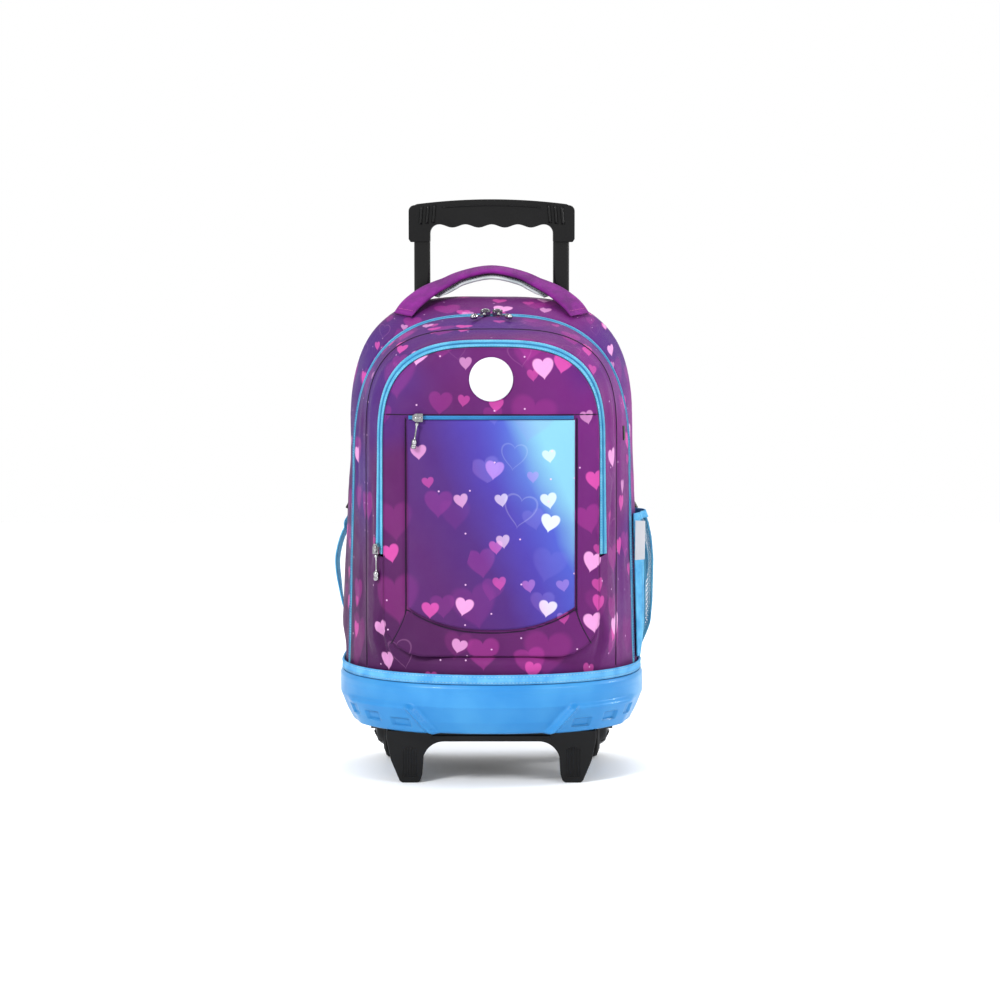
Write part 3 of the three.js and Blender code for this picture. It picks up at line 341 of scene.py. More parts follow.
def print_plan(grid, normals, closed):
    """Where each point lies on the flat print: across, and up the bag."""
    x, y, z = grid[..., 0], grid[..., 1], grid[..., 2]
    side, over = normals[..., 0] ** 2, normals[..., 2] ** 2
    forward = BACK_HOLD + FRONT_HOLD * np.clip((BODY_BACK - y) / BACK_FADE, 0, 1)
    side, over = (blurred(share / (side + over + forward), closed) for share in (side, over))
    depth = y + BODY_FRONT
    return np.stack([x + np.sign(x) * depth * side, z + depth * over], axis=-1)


def sheet_piece(name, outer, wall, material, closed=False, prints=False, merge=False):
    """A sheet of one wall's thickness inside a grid of outer points, in millimetres."""
    outer = np.array(outer, dtype=float)
    normals = outward(outer, grid_normals(outer, closed))
    rows, columns = outer.shape[:2]
    points = np.concatenate([outer.reshape(-1, 3), (outer - normals * wall).reshape(-1, 3)])
    plan = np.tile(print_plan(outer, normals, closed).reshape(-1, 2), (2, 1)) if prints else None
    return make_object(name, points, sheet_faces(rows, columns, closed), material, plan, merge)


def loop_band(name, rings, wall, material, prints=False):
    """A ring-shaped piece through whole rings round the bag."""
    return sheet_piece(name, np.stack(rings, axis=1), wall, material, closed=True, prints=prints)


# How far the rings that close a cup's end are drawn in to its middle
CUP_END = (0.15, 0.4, 0.65, 0.85)


def cup(name, shares, closed_at_back, material):
    """Half of the bag: walls of cloth with one end closed."""
    sign, end_share = (1, shares[0]) if closed_at_back else (-1, shares[-1])
    wall_share = WALL / BODY_DEPTH
    outer, inner = [], []
    for i, share in enumerate(shares):
        near = max(share, wall_share * (i + 1)) if closed_at_back else min(share, end_share - wall_share)
        outer.append(soften(skin_ring(share), share))
        inner.append(soften(skin_ring(near, WALL), near))
    if not closed_at_back:
        outer, inner = outer[::-1], inner[::-1]
    end_y, middle = row_at(end_share)["y"], (RIM_TOP + BODY_TOP) / 2
    poles = np.array([[0.0, end_y, middle], [0.0, end_y - sign * WALL, middle]])
    rings = [poles[0] + (outer[0] - poles[0]) * drawn for drawn in CUP_END] + outer + inner[::-1]
    rings += [poles[1] + (inner[0] - poles[1]) * drawn for drawn in reversed(CUP_END)]
    size = len(rings[0])
    end = len(rings) * size
    faces = tube_faces(len(rings), size, capped=False)
    for i in range(size):
        j = (i + 1) % size
        faces += [(end, j, i), (end + 1, end - size + i, end - size + j)]
    stack = np.stack(rings, axis=1)
    flat = print_plan(stack, grid_normals(stack, True), True)
    plan = np.concatenate([flat.transpose(1, 0, 2).reshape(-1, 2), [[0, middle], [0, middle]]])
    return make_object(name, np.concatenate(rings + [poles]), faces, material, plan)


# The cloth's slackness, and its upright folds: depth, and how fast they change across and up
SLACK, FOLD_DEPTH, FOLD_ACROSS, FOLD_UP = 0.9, 11.0, 0.075, 0.011


def soften(ring, share):
    """Small puckers, upright folds and a slight slackness, away from the rim and the zips."""
    middle = Vector((0, 0, 300))
    near_tape = min(abs(share - ZIP_AT), abs(share - SEAM_AT))
    out = []
    for x, y, z in ring:
        spot = Vector((x, y, z))
        wave = noise.noise(spot * 0.022) * 1.3 + noise.noise(spot * 0.06 + Vector((9, 3, 1))) * 0.45
        fold = max(0.0, noise.noise(Vector((x * FOLD_ACROSS, y * FOLD_ACROSS, z * FOLD_UP + 4))))
        wave += FOLD_DEPTH * fold * smooth(0, 0.05, near_tape) * (1 - smooth(330, 400, z))
        free = smooth(RIM_TOP + 4, RIM_TOP + 30, z)
        out.append(spot + (middle - spot).normalized() * ((wave + SLACK) * 0.5 * free))
    return np.array(out)


# Node-based materials


ALBEDO = 0.7


def srgb(*parts):
    """A surface colour from its 0 to 255 look in the studio's light, as linear values."""
    linear = ((p / 255 / 12.92) if p < 11 else ((p / 255 + 0.055) / 1.055) ** 2.4 for p in parts)
    return tuple(ALBEDO * value for value in linear) + (1.0,)


class Nodes:
    """A short way to write a node tree."""

    def __init__(self, tree):
        self.tree = tree

    def feed(self, socket, value):
        """Links a socket to a node's output, or gives it a value of its own."""
        if isinstance(value, bpy.types.NodeSocket):
            self.tree.links.new(value, socket)
        else:
            socket.default_value = value

    def add(self, kind, inputs=None, **settings):
        node = self.tree.nodes.new(kind)
        for key, value in settings.items():
            setattr(node, key, value)
        for key, value in (inputs or {}).items():
            self.feed(node.inputs[key], value)
        return node

    def math(self, operation, a, b=0.0, c=0.0):
        return self.add("ShaderNodeMath", {0: a, 1: b, 2: c}, operation=operation).outputs[0]

    def ramp(self, value, start, end, low=0.0, high=1.0, kind="SMOOTHSTEP"):
        inputs = {"Value": value, "From Min": start, "From Max": end, "To Min": low, "To Max": high}
        return self.add("ShaderNodeMapRange", inputs, interpolation_type=kind).outputs["Result"]

    def mix(self, factor, a, b):
        return self.add("ShaderNodeMix", {0: factor, 6: a, 7: b}, data_type="RGBA").outputs[2]

    def colours(self, value, stops):
        node = self.add("ShaderNodeValToRGB", {"Fac": value})
        band = node.color_ramp.elements
        while len(band) < len(stops):
            band.new(0.5)
        for element, (place, colour) in zip(band, stops):
            element.position = place
            element.color = colour
        return node.outputs["Color"]

    def noise(self, vector, scale, detail=3.0, rough=0.5):
        inputs = {"Vector": vector, "Scale": scale, "Detail": detail, "Roughness": rough}
        return self.add("ShaderNodeTexNoise", inputs).outputs["Fac"]

    def split(self, vector):
        return self.add("ShaderNodeSeparateXYZ", {0: vector}).outputs

    def cells(self, vector, scale, spread):
        """Scattered points on a flat plan, with a random colour for each."""
        inputs = {"Vector": vector, "Scale": scale, "Randomness": spread}
        return self.add("ShaderNodeTexVoronoi", inputs, voronoi_dimensions="2D").outputs


HEART_INPUTS = ("Cell", "Size", "Chance", "Soft", "Line")


def heart_group():
    """Scattered hearts on a flat plan. Mask and a random number for each heart come out."""
    tree = bpy.data.node_groups.new("heart_scatter", "ShaderNodeTree")
    tree.interface.new_socket("Vector", in_out="INPUT", socket_type="NodeSocketVector")
    for name in HEART_INPUTS:
        tree.interface.new_socket(name, in_out="INPUT", socket_type="NodeSocketFloat")
    for name in ("Mask", "Random"):
        tree.interface.new_socket(name, in_out="OUTPUT", socket_type="NodeSocketFloat")
    n = Nodes(tree)
    given = n.add("NodeGroupInput").outputs
    scale = n.math("DIVIDE", 1.0, given["Cell"])
    cells = n.cells(given["Vector"], scale, 0.62)
    offset = n.add("ShaderNodeVectorMath", {0: given["Vector"], 1: cells["Position"]},
                   operation="SUBTRACT").outputs[0]
    pick = n.split(cells["Color"])
    turn = n.math("MULTIPLY_ADD", pick[1], 0.5, -0.25)
    turned = n.add("ShaderNodeVectorRotate", {"Vector": offset, "Angle": turn},
                   rotation_type="Z_AXIS").outputs[0]
    spot = n.split(turned)
    radius = n.math("MULTIPLY", given["Size"], n.math("MULTIPLY_ADD", pick[2], 0.6, 0.7))
    x = n.math("ABSOLUTE", n.math("DIVIDE", spot[0], radius))
    y = n.math("DIVIDE", spot[1], radius)
    lobe = n.math("MULTIPLY", n.math("SQRT", x), -0.85)
    rise = n.math("ADD", n.math("MULTIPLY_ADD", y, 1.18, 0.35), lobe)
    field = n.math("ADD", n.math("MULTIPLY", x, x), n.math("MULTIPLY", rise, rise))
    field = n.math("SUBTRACT", field, 1.0)
    solid = n.ramp(field, given["Soft"], n.math("MULTIPLY", given["Soft"], -1.0))
    ring = n.ramp(n.math("ABSOLUTE", field), 0.16, 0.06)
    shape = n.math("ADD", n.math("MULTIPLY", solid, n.math("SUBTRACT", 1.0, given["Line"])),
                   n.math("MULTIPLY", ring, given["Line"]))
    there = n.math("LESS_THAN", pick[0], given["Chance"])
    n.add("NodeGroupOutput", {"Mask": n.math("MULTIPLY", shape, there), "Random": pick[2]})
    return tree


HEARTS = heart_group()

# Each layer of the print: cell and heart size in metres, chance, softness of the edge, outline
# or filled, how strongly it covers, and which of the plain, bright and pale inks it takes.
PRINT_LAYERS = [dict(zip(HEART_INPUTS + ("cover", "ink"), row)) for row in (
    (0.072, 0.019, 0.5, 0.3, 0.0, 0.2, 0),
    (0.047, 0.012, 0.5, 0.22, 0.0, 0.34, 0),
    (0.058, 0.012, 0.3, 0.1, 1.0, 0.12, 2),
    (0.033, 0.0072, 0.36, 0.2, 0.0, 0.72, 1),
    (0.041, 0.0078, 0.33, 0.18, 0.0, 0.92, 2),
)]
SPECK_CELL = 0.026


def new_material(name):
    material = bpy.data.materials.new(name)
    material.use_nodes = True
    material.node_tree.nodes.clear()
    n = Nodes(material.node_tree)
    shader = n.add("ShaderNodeBsdfPrincipled")
    n.add("ShaderNodeOutputMaterial", {"Surface": shader.outputs[0]})
    where = n.add("ShaderNodeTexCoord").outputs["Object"]
    return material, n, shader, where


def set_shader(n, shader, bump=None, strength=0.3, distance=0.0004, **sockets):
    for key, value in sockets.items():
        n.feed(shader.inputs[key.replace("_", " ").title().replace("Ior", "IOR")], value)
    if bump is not None:
        node = n.add("ShaderNodeBump", {"Height": bump, "Strength": strength, "Distance": distance})
        n.tree.links.new(node.outputs[0], shader.inputs["Normal"])


def weave(n, where, pitch):
    """The height of a plain weave, its threads one pitch apart."""
    x, y, z = n.split(where)
    turns = 2 * math.pi / pitch
    across = n.math("SINE", n.math("MULTIPLY", n.math("ADD", x, y), turns))
    up = n.math("SINE", n.math("MULTIPLY", z, turns))
    return n.math("MULTIPLY", across, up)


def print_layers(n, plan, base, inks):
    """Hearts and small specks over a base colour."""
    colour = base
    for index, layer in enumerate(PRINT_LAYERS):
        shift = n.add("ShaderNodeVectorMath", {0: plan, 1: (0.37 * index + 0.11, 0.23 * index + 0.4, 0)},
                      operation="ADD").outputs[0]
        hearts = n.add("ShaderNodeGroup", node_tree=HEARTS)
        n.feed(hearts.inputs["Vector"], shift)
        for key in HEART_INPUTS:
            n.feed(hearts.inputs[key], layer[key])
        cover = n.math("MULTIPLY", layer["cover"], n.ramp(hearts.outputs["Random"], 0, 1, 0.55, 1.0))
        colour = n.mix(n.math("MULTIPLY", hearts.outputs["Mask"], cover), colour, inks[layer["ink"]])
    specks = n.cells(plan, 1 / SPECK_CELL, 0.9)
    near = n.ramp(specks["Distance"], 0.045, 0.02)
    few = n.math("LESS_THAN", n.split(specks["Color"])[0], 0.3)
    return n.mix(n.math("MULTIPLY", near, n.math("MULTIPLY", few, 0.85)), colour, srgb(244, 200, 240))


def printed_fabric(name="printed_fabric", panel=False):
    """Purple cloth with a scatter of hearts; away from the centre panel it carries painted light, brighter
    magenta to the upper right and darker to the lower left. The centre panel runs to blue and pale cyan.
    """
    material, n, shader, where = new_material(name)
    x, _, z = n.split(where)
    plan = n.add("ShaderNodeAttribute", attribute_name="print").outputs["Vector"]
    cloud = n.noise(where, 7.0, 3.0, 0.55)
    if panel:
        drift = n.math("MULTIPLY_ADD", cloud, 0.05, -0.025)
        reach = n.math("ADD", n.math("MULTIPLY_ADD", z, 0.45, -0.118), n.math("ADD", x, drift))
        base = n.colours(n.ramp(reach, -0.085, 0.085, kind="LINEAR"), [
            (0.0, srgb(92, 34, 112)), (0.34, srgb(84, 40, 128)), (0.6, srgb(82, 66, 172)),
            (0.8, srgb(84, 98, 200)), (1.0, srgb(140, 200, 226))])
        glow = n.math("MULTIPLY", n.ramp(x, 0.0, 0.085), n.ramp(z, 0.25, 0.36))
        base = n.mix(n.math("MULTIPLY", glow, 0.85), base, srgb(142, 206, 226))
        pink = n.mix(n.ramp(reach, -0.03, 0.03), srgb(236, 96, 190), srgb(190, 150, 232))
        pale = n.mix(n.ramp(reach, -0.04, 0.05), srgb(246, 176, 228), srgb(238, 246, 252))
        inks = [n.mix(n.ramp(reach, -0.03, 0.03), srgb(168, 60, 160), srgb(150, 140, 222)), pink, pale]
    else:
        # Painted light and shade over the cloth's own purple and magenta: darker at the lower left, brighter
        # at the upper right, with random cloudy unevenness.
        painted_light_and_cloud_tone = n.math("ADD", n.math("MULTIPLY_ADD", x, 2.0, 0.36), n.math("MULTIPLY_ADD", z, 0.9, -0.28))
        painted_light_and_cloud_tone = n.math("ADD", painted_light_and_cloud_tone, n.math("MULTIPLY_ADD", cloud, 0.5, -0.25))
        base = n.colours(n.ramp(painted_light_and_cloud_tone, 0.0, 1.0, kind="LINEAR"), [
            (0.0, srgb(82, 18, 88)), (0.3, srgb(102, 22, 106)), (0.62, srgb(118, 28, 124)),
            (1.0, srgb(168, 30, 156))])
        blot = n.ramp(n.noise(where, 5.2, 2.0, 0.5), 0.5, 0.66)
        base = n.mix(n.math("MULTIPLY", blot, 0.75), base, srgb(74, 36, 136))
        inks = [srgb(196, 62, 168), srgb(232, 92, 186), srgb(240, 172, 226)]
    colour = print_layers(n, plan, base, inks)
    fine = weave(n, where, 0.0011)
    colour = n.mix(n.ramp(fine, -1, 1, 0.0, 0.13), colour, (0.0, 0.0, 0.0, 1.0))
    rumple = n.noise(where, 38.0, 4.0, 0.6)
    height = n.math("ADD", n.math("MULTIPLY", fine, 0.16), n.math("MULTIPLY", rumple, 1.2))
    set_shader(n, shader, height, 0.42, 0.0011, base_color=colour, sheen_weight=0.04, sheen_roughness=0.4,
               roughness=n.ramp(rumple, 0.3, 0.7, 0.5, 0.66), specular_ior_level=0.28)
    return material


def plain_fabric(name, colour, shade, pitch):
    """Woven tape or cloth of one colour, with its threads and small unevenness."""
    colour, shade = srgb(*colour), srgb(*shade)
    material, n, shader, where = new_material(name)
    fine = weave(n, where, pitch)
    cloud = n.noise(where, 60.0, 3.0, 0.6)
    mixed = n.mix(n.ramp(cloud, 0.3, 0.75), colour, shade)
    mixed = n.mix(n.ramp(fine, -1, 1, 0.0, 0.2), mixed, shade)
    height = n.math("ADD", n.math("MULTIPLY", fine, 0.6), n.math("MULTIPLY", cloud, 0.6))
    set_shader(n, shader, height, 0.5, 0.0005, base_color=mixed, roughness=0.75, sheen_weight=0.05,
               specular_ior_level=0.3)
    return material


def plastic(name, colour, shade, rough, grain=900.0, bump=0.12, coat=0.0):
    """Moulded plastic with fine grain and slightly uneven gloss."""
    colour, shade = srgb(*colour), srgb(*shade)
    material, n, shader, where = new_material(name)
    pebble = n.noise(where, grain, 2.0, 0.5)
    cloud = n.noise(where, 14.0, 3.0, 0.5)
    mixed = n.mix(n.ramp(cloud, 0.35, 0.7), colour, shade)
    gloss = n.ramp(cloud, 0.3, 0.7, rough - 0.05, rough + 0.08)
    set_shader(n, shader, pebble, bump, 0.0003, base_color=mixed, roughness=gloss, coat_weight=coat,
               specular_ior_level=0.3)
    return material


def metal(name, colour, shade, rough):
    material, n, shader, where = new_material(name)
    scuff = n.noise(where, 300.0, 4.0, 0.6)
    mixed = n.mix(n.ramp(scuff, 0.35, 0.8), colour, shade)
    set_shader(n, shader, scuff, 0.05, 0.0002, base_color=mixed, metallic=1.0,
               roughness=n.ramp(scuff, 0.3, 0.8, rough, rough + 0.15))
    return material


# Cloths and tapes: colour, its shade, and the threads' pitch in metres
FABRICS = {
    "back_fabric": ((92, 30, 104), (66, 20, 78), 0.0013),
    "handle_fabric": ((146, 30, 150), (112, 24, 120), 0.0011),
    "strap_fabric": ((96, 32, 108), (68, 22, 82), 0.0013),
    "zip_tape": ((112, 196, 228), (78, 168, 210), 0.0009),
    "webbing": ((112, 196, 236), (74, 160, 214), 0.0016),
    "mesh": ((104, 186, 220), (58, 140, 188), 0.0006),
    "air_mesh": ((226, 230, 232), (176, 186, 188), 0.0022),
    "rim_binding": ((118, 194, 240), (82, 166, 226), 0.0012),
    "thread": ((186, 228, 246), (150, 208, 236), 0.0005),
    "dark_thread": ((52, 14, 66), (34, 8, 46), 0.0006),
    "pink_thread": ((232, 130, 190), (200, 96, 170), 0.0006),
}

# Plastics: colour, its shade, roughness, then grain, bump and coat where they aren't the usual ones
PLASTICS = {
    "tray": ((74, 158, 214), (52, 142, 206), 0.36, 700.0, 0.08, 0.1),
    "black_plastic": ((14, 14, 15), (9, 9, 10), 0.36, 800.0, 0.2),
    "hub_plastic": ((22, 22, 24), (14, 14, 15), 0.3),
    "wheel_rubber": ((22, 22, 23), (15, 15, 16), 0.72, 500.0, 0.3),
    "tube": ((8, 8, 9), (5, 5, 6), 0.22, 300.0, 0.02, 0.3),
    "coil": ((58, 142, 196), (44, 120, 176), 0.4),
    "badge": ((236, 240, 242), (228, 233, 237), 0.34, 500.0, 0.05, 0.2),
}

# Metals: linear colour, its shade, and roughness
METALS = {
    "steel": ((0.62, 0.63, 0.65, 1), (0.45, 0.46, 0.48, 1), 0.3),
    "pull_metal": ((0.42, 0.42, 0.43, 1), (0.16, 0.16, 0.17, 1), 0.18),
}

MATERIALS = {"printed_fabric": printed_fabric(), "panel_fabric": printed_fabric("panel_fabric", panel=True)}
for make, looks in ((plain_fabric, FABRICS), (plastic, PLASTICS), (metal, METALS)):
    MATERIALS.update({name: make(name, *values) for name, values in looks.items()})


def finish_piece(piece, body="bag", replaced=()):
    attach(piece, body)
    if replaced:
        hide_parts(*replaced)
    return piece


# The bag's cloth


def make_shells():
    gap = (ZIP_WIDTH / 2 + CLEAR) / BODY_DEPTH
    back = [0.0, 0.008, 0.02] + between(0.031, ZIP_AT - gap, 16)
    finish_piece(cup("main_shell_cloth", back, True, "printed_fabric"),
                 replaced=["main_shell"])
    front = between(ZIP_AT + gap, SEAM_AT, 12)
    finish_piece(cup("front_shell_cloth", front, False, "printed_fabric"),
                 replaced=["front_shell"])


LIP_GAP, GUSSET_WALL = 0.5, 1.8


def make_gusset():
    bend, edge = skin_ring(BEND_AT), face_ring()
    shares = between(SEAM_AT + 2 * CLEAR / BODY_DEPTH, BEND_AT, 9)
    rings = [skin_ring(share) for share in shares[:-1]]
    soft = [rings[0]] + [soften(ring, 0) for ring in rings[1:]]
    apart = np.linalg.norm(edge - bend, axis=1)
    reach = np.where(bend[:, 2] > ZIP_END, 0.1, 1 - LIP_GAP / apart)[:, None]
    lip = []
    for k, share in enumerate(between(0.0, 1.0, 6)):
        ring = bend + (edge - bend) * reach * share
        lip.append(np.array([tucked(*spot, 2 * SEAT if k else 0) for spot in ring]))
    piece = loop_band("pocket_gusset_cloth", soft + lip, GUSSET_WALL, "printed_fabric", True)
    finish_piece(piece, replaced=["pocket_gusset"])


FACE_SEAM_Z, SIDE_SEAM_X, LOW_SEAM_DOWN = 361.5, 82.5, 3.0
SEAM_WIDTH, SEAM_DEPTH, TOP_SEAM_DEPTH = 1.6, 1.4, 1.5


def seam_dip(distance, depth=SEAM_DEPTH):
    """How deep a sewn seam draws the cloth in at some distance from its line."""
    return depth * math.exp(-(distance / SEAM_WIDTH) ** 2)


def face_out(x, z):
    """How far the pocket face stands forward: soft padding, drawn in at its seams."""
    seams = seam_dip(z - FACE_SEAM_Z, TOP_SEAM_DEPTH)
    if z < FACE_SEAM_Z:
        low = lower_edge(x)
        if z > low - 4:
            seams = max(seams, seam_dip(abs(x) - SIDE_SEAM_X))
        if abs(x) < SIDE_SEAM_X:
            seams = max(seams, seam_dip(z - (low - LOW_SEAM_DOWN)))
    return noise.noise(Vector((x, 0, z)) * 0.03) * 0.5 - seams


def lower_edge(x):
    return lerp(PANEL_MIDDLE, PANEL_SIDE, clamp(abs(x) / PANEL_HALF) ** 2.4)


# The face's rolled edge: how far each ring is drawn in, and how far back
FACE_ROLL = ((2.34, 2.0), (1.98, 1.2), (0.81, 0.5))
FACE_WALL = 1.2


def make_face():
    """The pocket's face, a sheet whose rings run from its rolled edge to its middle."""
    middle = (FACE_ROW["foot"] + FACE_ROW["top"]) / 2
    grid = [face_ring(inset) + np.array([0, back, 0]) for inset, back in FACE_ROLL]
    edge = face_ring(CLEAR)
    for share in between(1.0, 0.02, 60):
        rolled_in = smooth(1.0, 0.97, share)
        ring = [(x * share, lerp(middle, z, share)) for x, _, z in edge]
        grid.append(np.array([(x, face_y(x, z) - face_out(x, z) * rolled_in, z) for x, z in ring]))
    piece = loop_band("pocket_face_cloth", grid, FACE_WALL, "printed_fabric", True)
    finish_piece(piece, replaced=["pocket_face"])


def on_face(x, z, out):
    return (x, face_y(x, z) - CLEAR - out, z)


def make_panel():
    outer = []
    for a in between(-1, 1, 71):
        x, line = a * PANEL_HALF, []
        low = lower_edge(x)
        for b in between(-1, 1, 91):
            z = lerp(low, PANEL_TOP, (b + 1) / 2)
            crown = 2.0 * (1 - abs(a) ** 6) * (1 - abs(b) ** 8)
            sag = noise.noise(Vector((x, 2, z)) * 0.02) * 0.7 * (1 - a ** 4) * (1 - b ** 4)
            line.append(on_face(x, z, 1.0 + crown + sag))
        outer.append(line)
    piece = sheet_piece("center_panel_cloth", outer, 1.0, "panel_fabric", prints=True)
    finish_piece(piece, replaced=["center_panel"])


# Zips: tape, coil and stitches


# A stud's corners and faces, as shares of its half length, half width and height
STUD_POINTS = ((-1, 0, -0.5), (-0.7, 0.8, 0.5), (-0.7, -0.8, 0.5), (0.7, 0.8, 0.5), (0.7, -0.8, 0.5),
               (1, 0, -0.5), (-0.5, 1, -0.5), (-0.5, -1, -0.5), (0.5, 1, -0.5), (0.5, -1, -0.5))
STUD_FACES = ((1, 3, 4, 2), (1, 6, 8, 3), (2, 4, 9, 7), (0, 6, 1), (0, 1, 2), (0, 2, 7),
              (5, 3, 8), (5, 4, 3), (5, 9, 4), (0, 7, 9, 5, 8, 6))


def studs(name, path, normals, size, pitch, material, offset=0.0, lift=0.0, skew=0.0):
    """Small blocks of a length, width and height along a path, such as zip teeth or stitches."""
    path, normals = np.asarray(path, float), np.asarray(normals, float)
    along = np.concatenate([[0], np.cumsum(np.linalg.norm(np.diff(path, axis=0), axis=1))])
    count = max(int(along[-1] / pitch), 1)
    places = (np.arange(count) + 0.5) * along[-1] / count

    def track(values, ahead=0.0):
        return np.stack([np.interp(places + ahead, along, values[:, k]) for k in range(3)], axis=1)

    ups = unit(track(normals))
    ahead = track(path, 0.5) - track(path, -0.5)
    ahead = unit(ahead - ups * np.sum(ahead * ups, axis=1, keepdims=True))
    side = np.cross(ups, ahead)
    spots = track(path) + side * offset + ups * lift
    turned_to = unit(ahead + side * skew)
    side = np.cross(ups, turned_to)
    length, width, height = size
    points = np.stack([spots + turned_to * (a * length / 2) + side * (b * width / 2) + ups * (c * height)
                       for a, b, c in STUD_POINTS], axis=1)
    step = len(STUD_POINTS)
    faces = [tuple(step * k + v for v in face) for k in range(count) for face in STUD_FACES]
    return make_object(name, points.reshape(-1, 3), faces, material)


def middle_line(grid):
    """The middle line of a band's grid and its outward normals."""
    grid = np.asarray(grid, float)
    half = grid.shape[1] // 2
    return grid[:, half], outward(grid[:, half], grid_normals(grid, False)[:, half])


def dress_zip(name, grid, stitch_at):
    """A coil along the middle of a tape, with a row of stitches along each edge."""
    line, normals = middle_line(grid)
    pieces = [studs(f"{name}_coil", line, normals, (0.9, 2.3, 0.9), 1.25, "coil", lift=0.2, skew=0.25)]
    for side, word in SIDES:
        pieces.append(studs(f"{name}_stitch_{word}", line, normals, (1.9, 0.5, 0.4), 2.6, "thread",
                            offset=side * stitch_at, lift=0.1))
    for piece in pieces:
        finish_piece(piece)


def make_main_zip():
    shares = [ZIP_AT + ZIP_WIDTH / 2 / BODY_DEPTH * s for s in between(-1, 1, 6)]
    grid = np.stack([skin_ring(s) for s in shares], axis=1)
    piece = sheet_piece("main_zip_tape", grid, 1.4, "zip_tape", closed=True)
    finish_piece(piece, replaced=["main_zip"])
    run = np.stack([skin_ring(s) for s in (shares[0], ZIP_AT, shares[-1])], axis=1)
    dress_zip("main_zip", run[SIDE_START:1 - SIDE_START], 2.1)


def make_pocket_zip():
    rings = skin_ring(BEND_AT), face_ring()
    bend, edge = (ring[ABOVE_ZIP_END:len(ring) - ABOVE_ZIP_END + 1] for ring in rings)
    grid = np.stack([bend + (edge - bend) * t for t in between(0.14, 0.92, 7)], axis=1)
    lift = np.array([0, 0.25, 0.1, -0.3, 0.1, 0.25, 0])[None, :, None]
    raised = grid + outward(grid, grid_normals(grid, False)) * lift
    piece = sheet_piece("pocket_zip_tape", raised, 1.3, "zip_tape")
    finish_piece(piece, replaced=["pocket_zip"])
    dress_zip("pocket_zip", grid, 4.4)


def make_panel_zip():
    grid = np.array([[on_face(x, z, 0.9) for z in between(PANEL_TOP + 0.6, PANEL_TOP + 4.2, 5)]
                     for x in between(-PANEL_HALF + 1, PANEL_HALF - 1, 60)])
    finish_piece(sheet_piece("panel_zip_tape", grid, 0.8, "coil"), replaced=["panel_zip"])
    coil = studs("panel_zip_coil", *middle_line(grid), (0.8, 2.0, 0.7), 1.2, "coil", skew=0.25)
    finish_piece(coil)


# A direction that no cord runs along, so that each cord's cross-section is turned from it
CORD_TURN = np.array([0.31, 0.2, 0.93])


def cord_along(name, path, radius, material, sides=8):
    """A thin round piping or seam line through points in millimetres."""
    path = np.asarray(path, float)
    tangent = unit(np.gradient(path, axis=0))
    side = unit(np.cross(tangent, CORD_TURN))
    up = np.cross(side, tangent)
    steps = circle(sides)
    rings = [[spot + radius * (side[i] * c + up[i] * s) for c, s in steps] for i, spot in enumerate(path)]
    return tube_piece(name, rings, material)


TOP_SEAM_HALF, CORNER_SEAM_X, CORNER_SEAM_Z = 103.0, 97.0, 143.0


def make_seams():
    """Dark sewn lines round the bag's front and over its pocket face."""
    ring = skin_ring(SEAM_AT + CLEAR / BODY_DEPTH, 0.2)[SIDE_START:1 - SIDE_START]
    finish_piece(cord_along("front_seam", ring, 0.75, "dark_thread"))
    side_x, low = SIDE_SEAM_X, PANEL_SIDE - LOW_SEAM_DOWN
    runs = {
        "top": [on_face(x, FACE_SEAM_Z + 3.6, -0.6) for x in between(-TOP_SEAM_HALF, TOP_SEAM_HALF, 60)],
        "low": [on_face(x, lower_edge(x) - LOW_SEAM_DOWN, -0.9) for x in between(-side_x, side_x, 60)],
    }
    corner = []
    for t in between(0, 1, 16):
        corner.append((lerp(side_x, CORNER_SEAM_X, t ** 1.4), lerp(low, CORNER_SEAM_Z, t)))
    for side, word in SIDES:
        runs[word] = [on_face(side * side_x, z, -0.9) for z in between(low, FACE_SEAM_Z, 40)]
        runs[f"corner_{word}"] = [on_face(side * x, z, -0.5) for x, z in corner]
    for word, line in runs.items():
        finish_piece(cord_along(f"face_seam_{word}", line, 0.6, "dark_thread", 6))


# The badge's rings: share of its radius, and how far each stands out
BADGE_RINGS = ((0.0, 1.6), (0.3, 1.6), (0.6, 1.6), (0.86, 1.55), (0.94, 1.35), (0.985, 0.9), (1.0, 0.3))


def badge_ring(radius, out, count):
    return [on_face(c * radius, BADGE_Z + s * radius, out) for c, s in circle(count)]


def make_badge():
    outer = np.array([badge_ring(BADGE_RADIUS * share, out, 96) for share, out in BADGE_RINGS])
    piece = sheet_piece("badge_disc", outer.transpose(1, 0, 2), 0.9, "badge", closed=True, merge=True)
    finish_piece(piece, replaced=["badge"])
    rim = badge_ring(BADGE_RADIUS - 1.6, 1.5, 96)
    finish_piece(cord_along("badge_bead", rim + rim[:1], 0.35, "badge", 6))


SLEEVE_IN, SLEEVE_LEAST, SLEEVE_WALL = 3.0, 101.0, 2.0


def sleeve_half(z):
    return max(half_at(row_at(0), z) - SLEEVE_IN, SLEEVE_LEAST)


def make_sleeve():
    heights = between(FOOT_Z, HANG, 14) + between(HANG + 8, SLEEVE_TOP, 36)
    outer = []
    for angle in between(0, math.pi, 81):
        across, back = signed_power(math.cos(angle), 0.5), max(math.sin(angle), 0) ** 0.5
        line = []
        for z in heights:
            x, y = across * sleeve_half(z), SLEEVE_FRONT + back * SLEEVE_DEPTH
            sag = noise.noise(Vector((x, y, z)) * 0.018) * 1.2 - 0.9
            deep = smooth(RIM_TOP + 6, HANG, z) * smooth(SLEEVE_FRONT, SLEEVE_FRONT + 20, y)
            line.append(tucked(x, y + sag * deep, z))
        outer.append(line)
    piece = sheet_piece("back_sleeve_cloth", outer, SLEEVE_WALL, "back_fabric", prints=True)
    finish_piece(piece, replaced=["back_sleeve"])


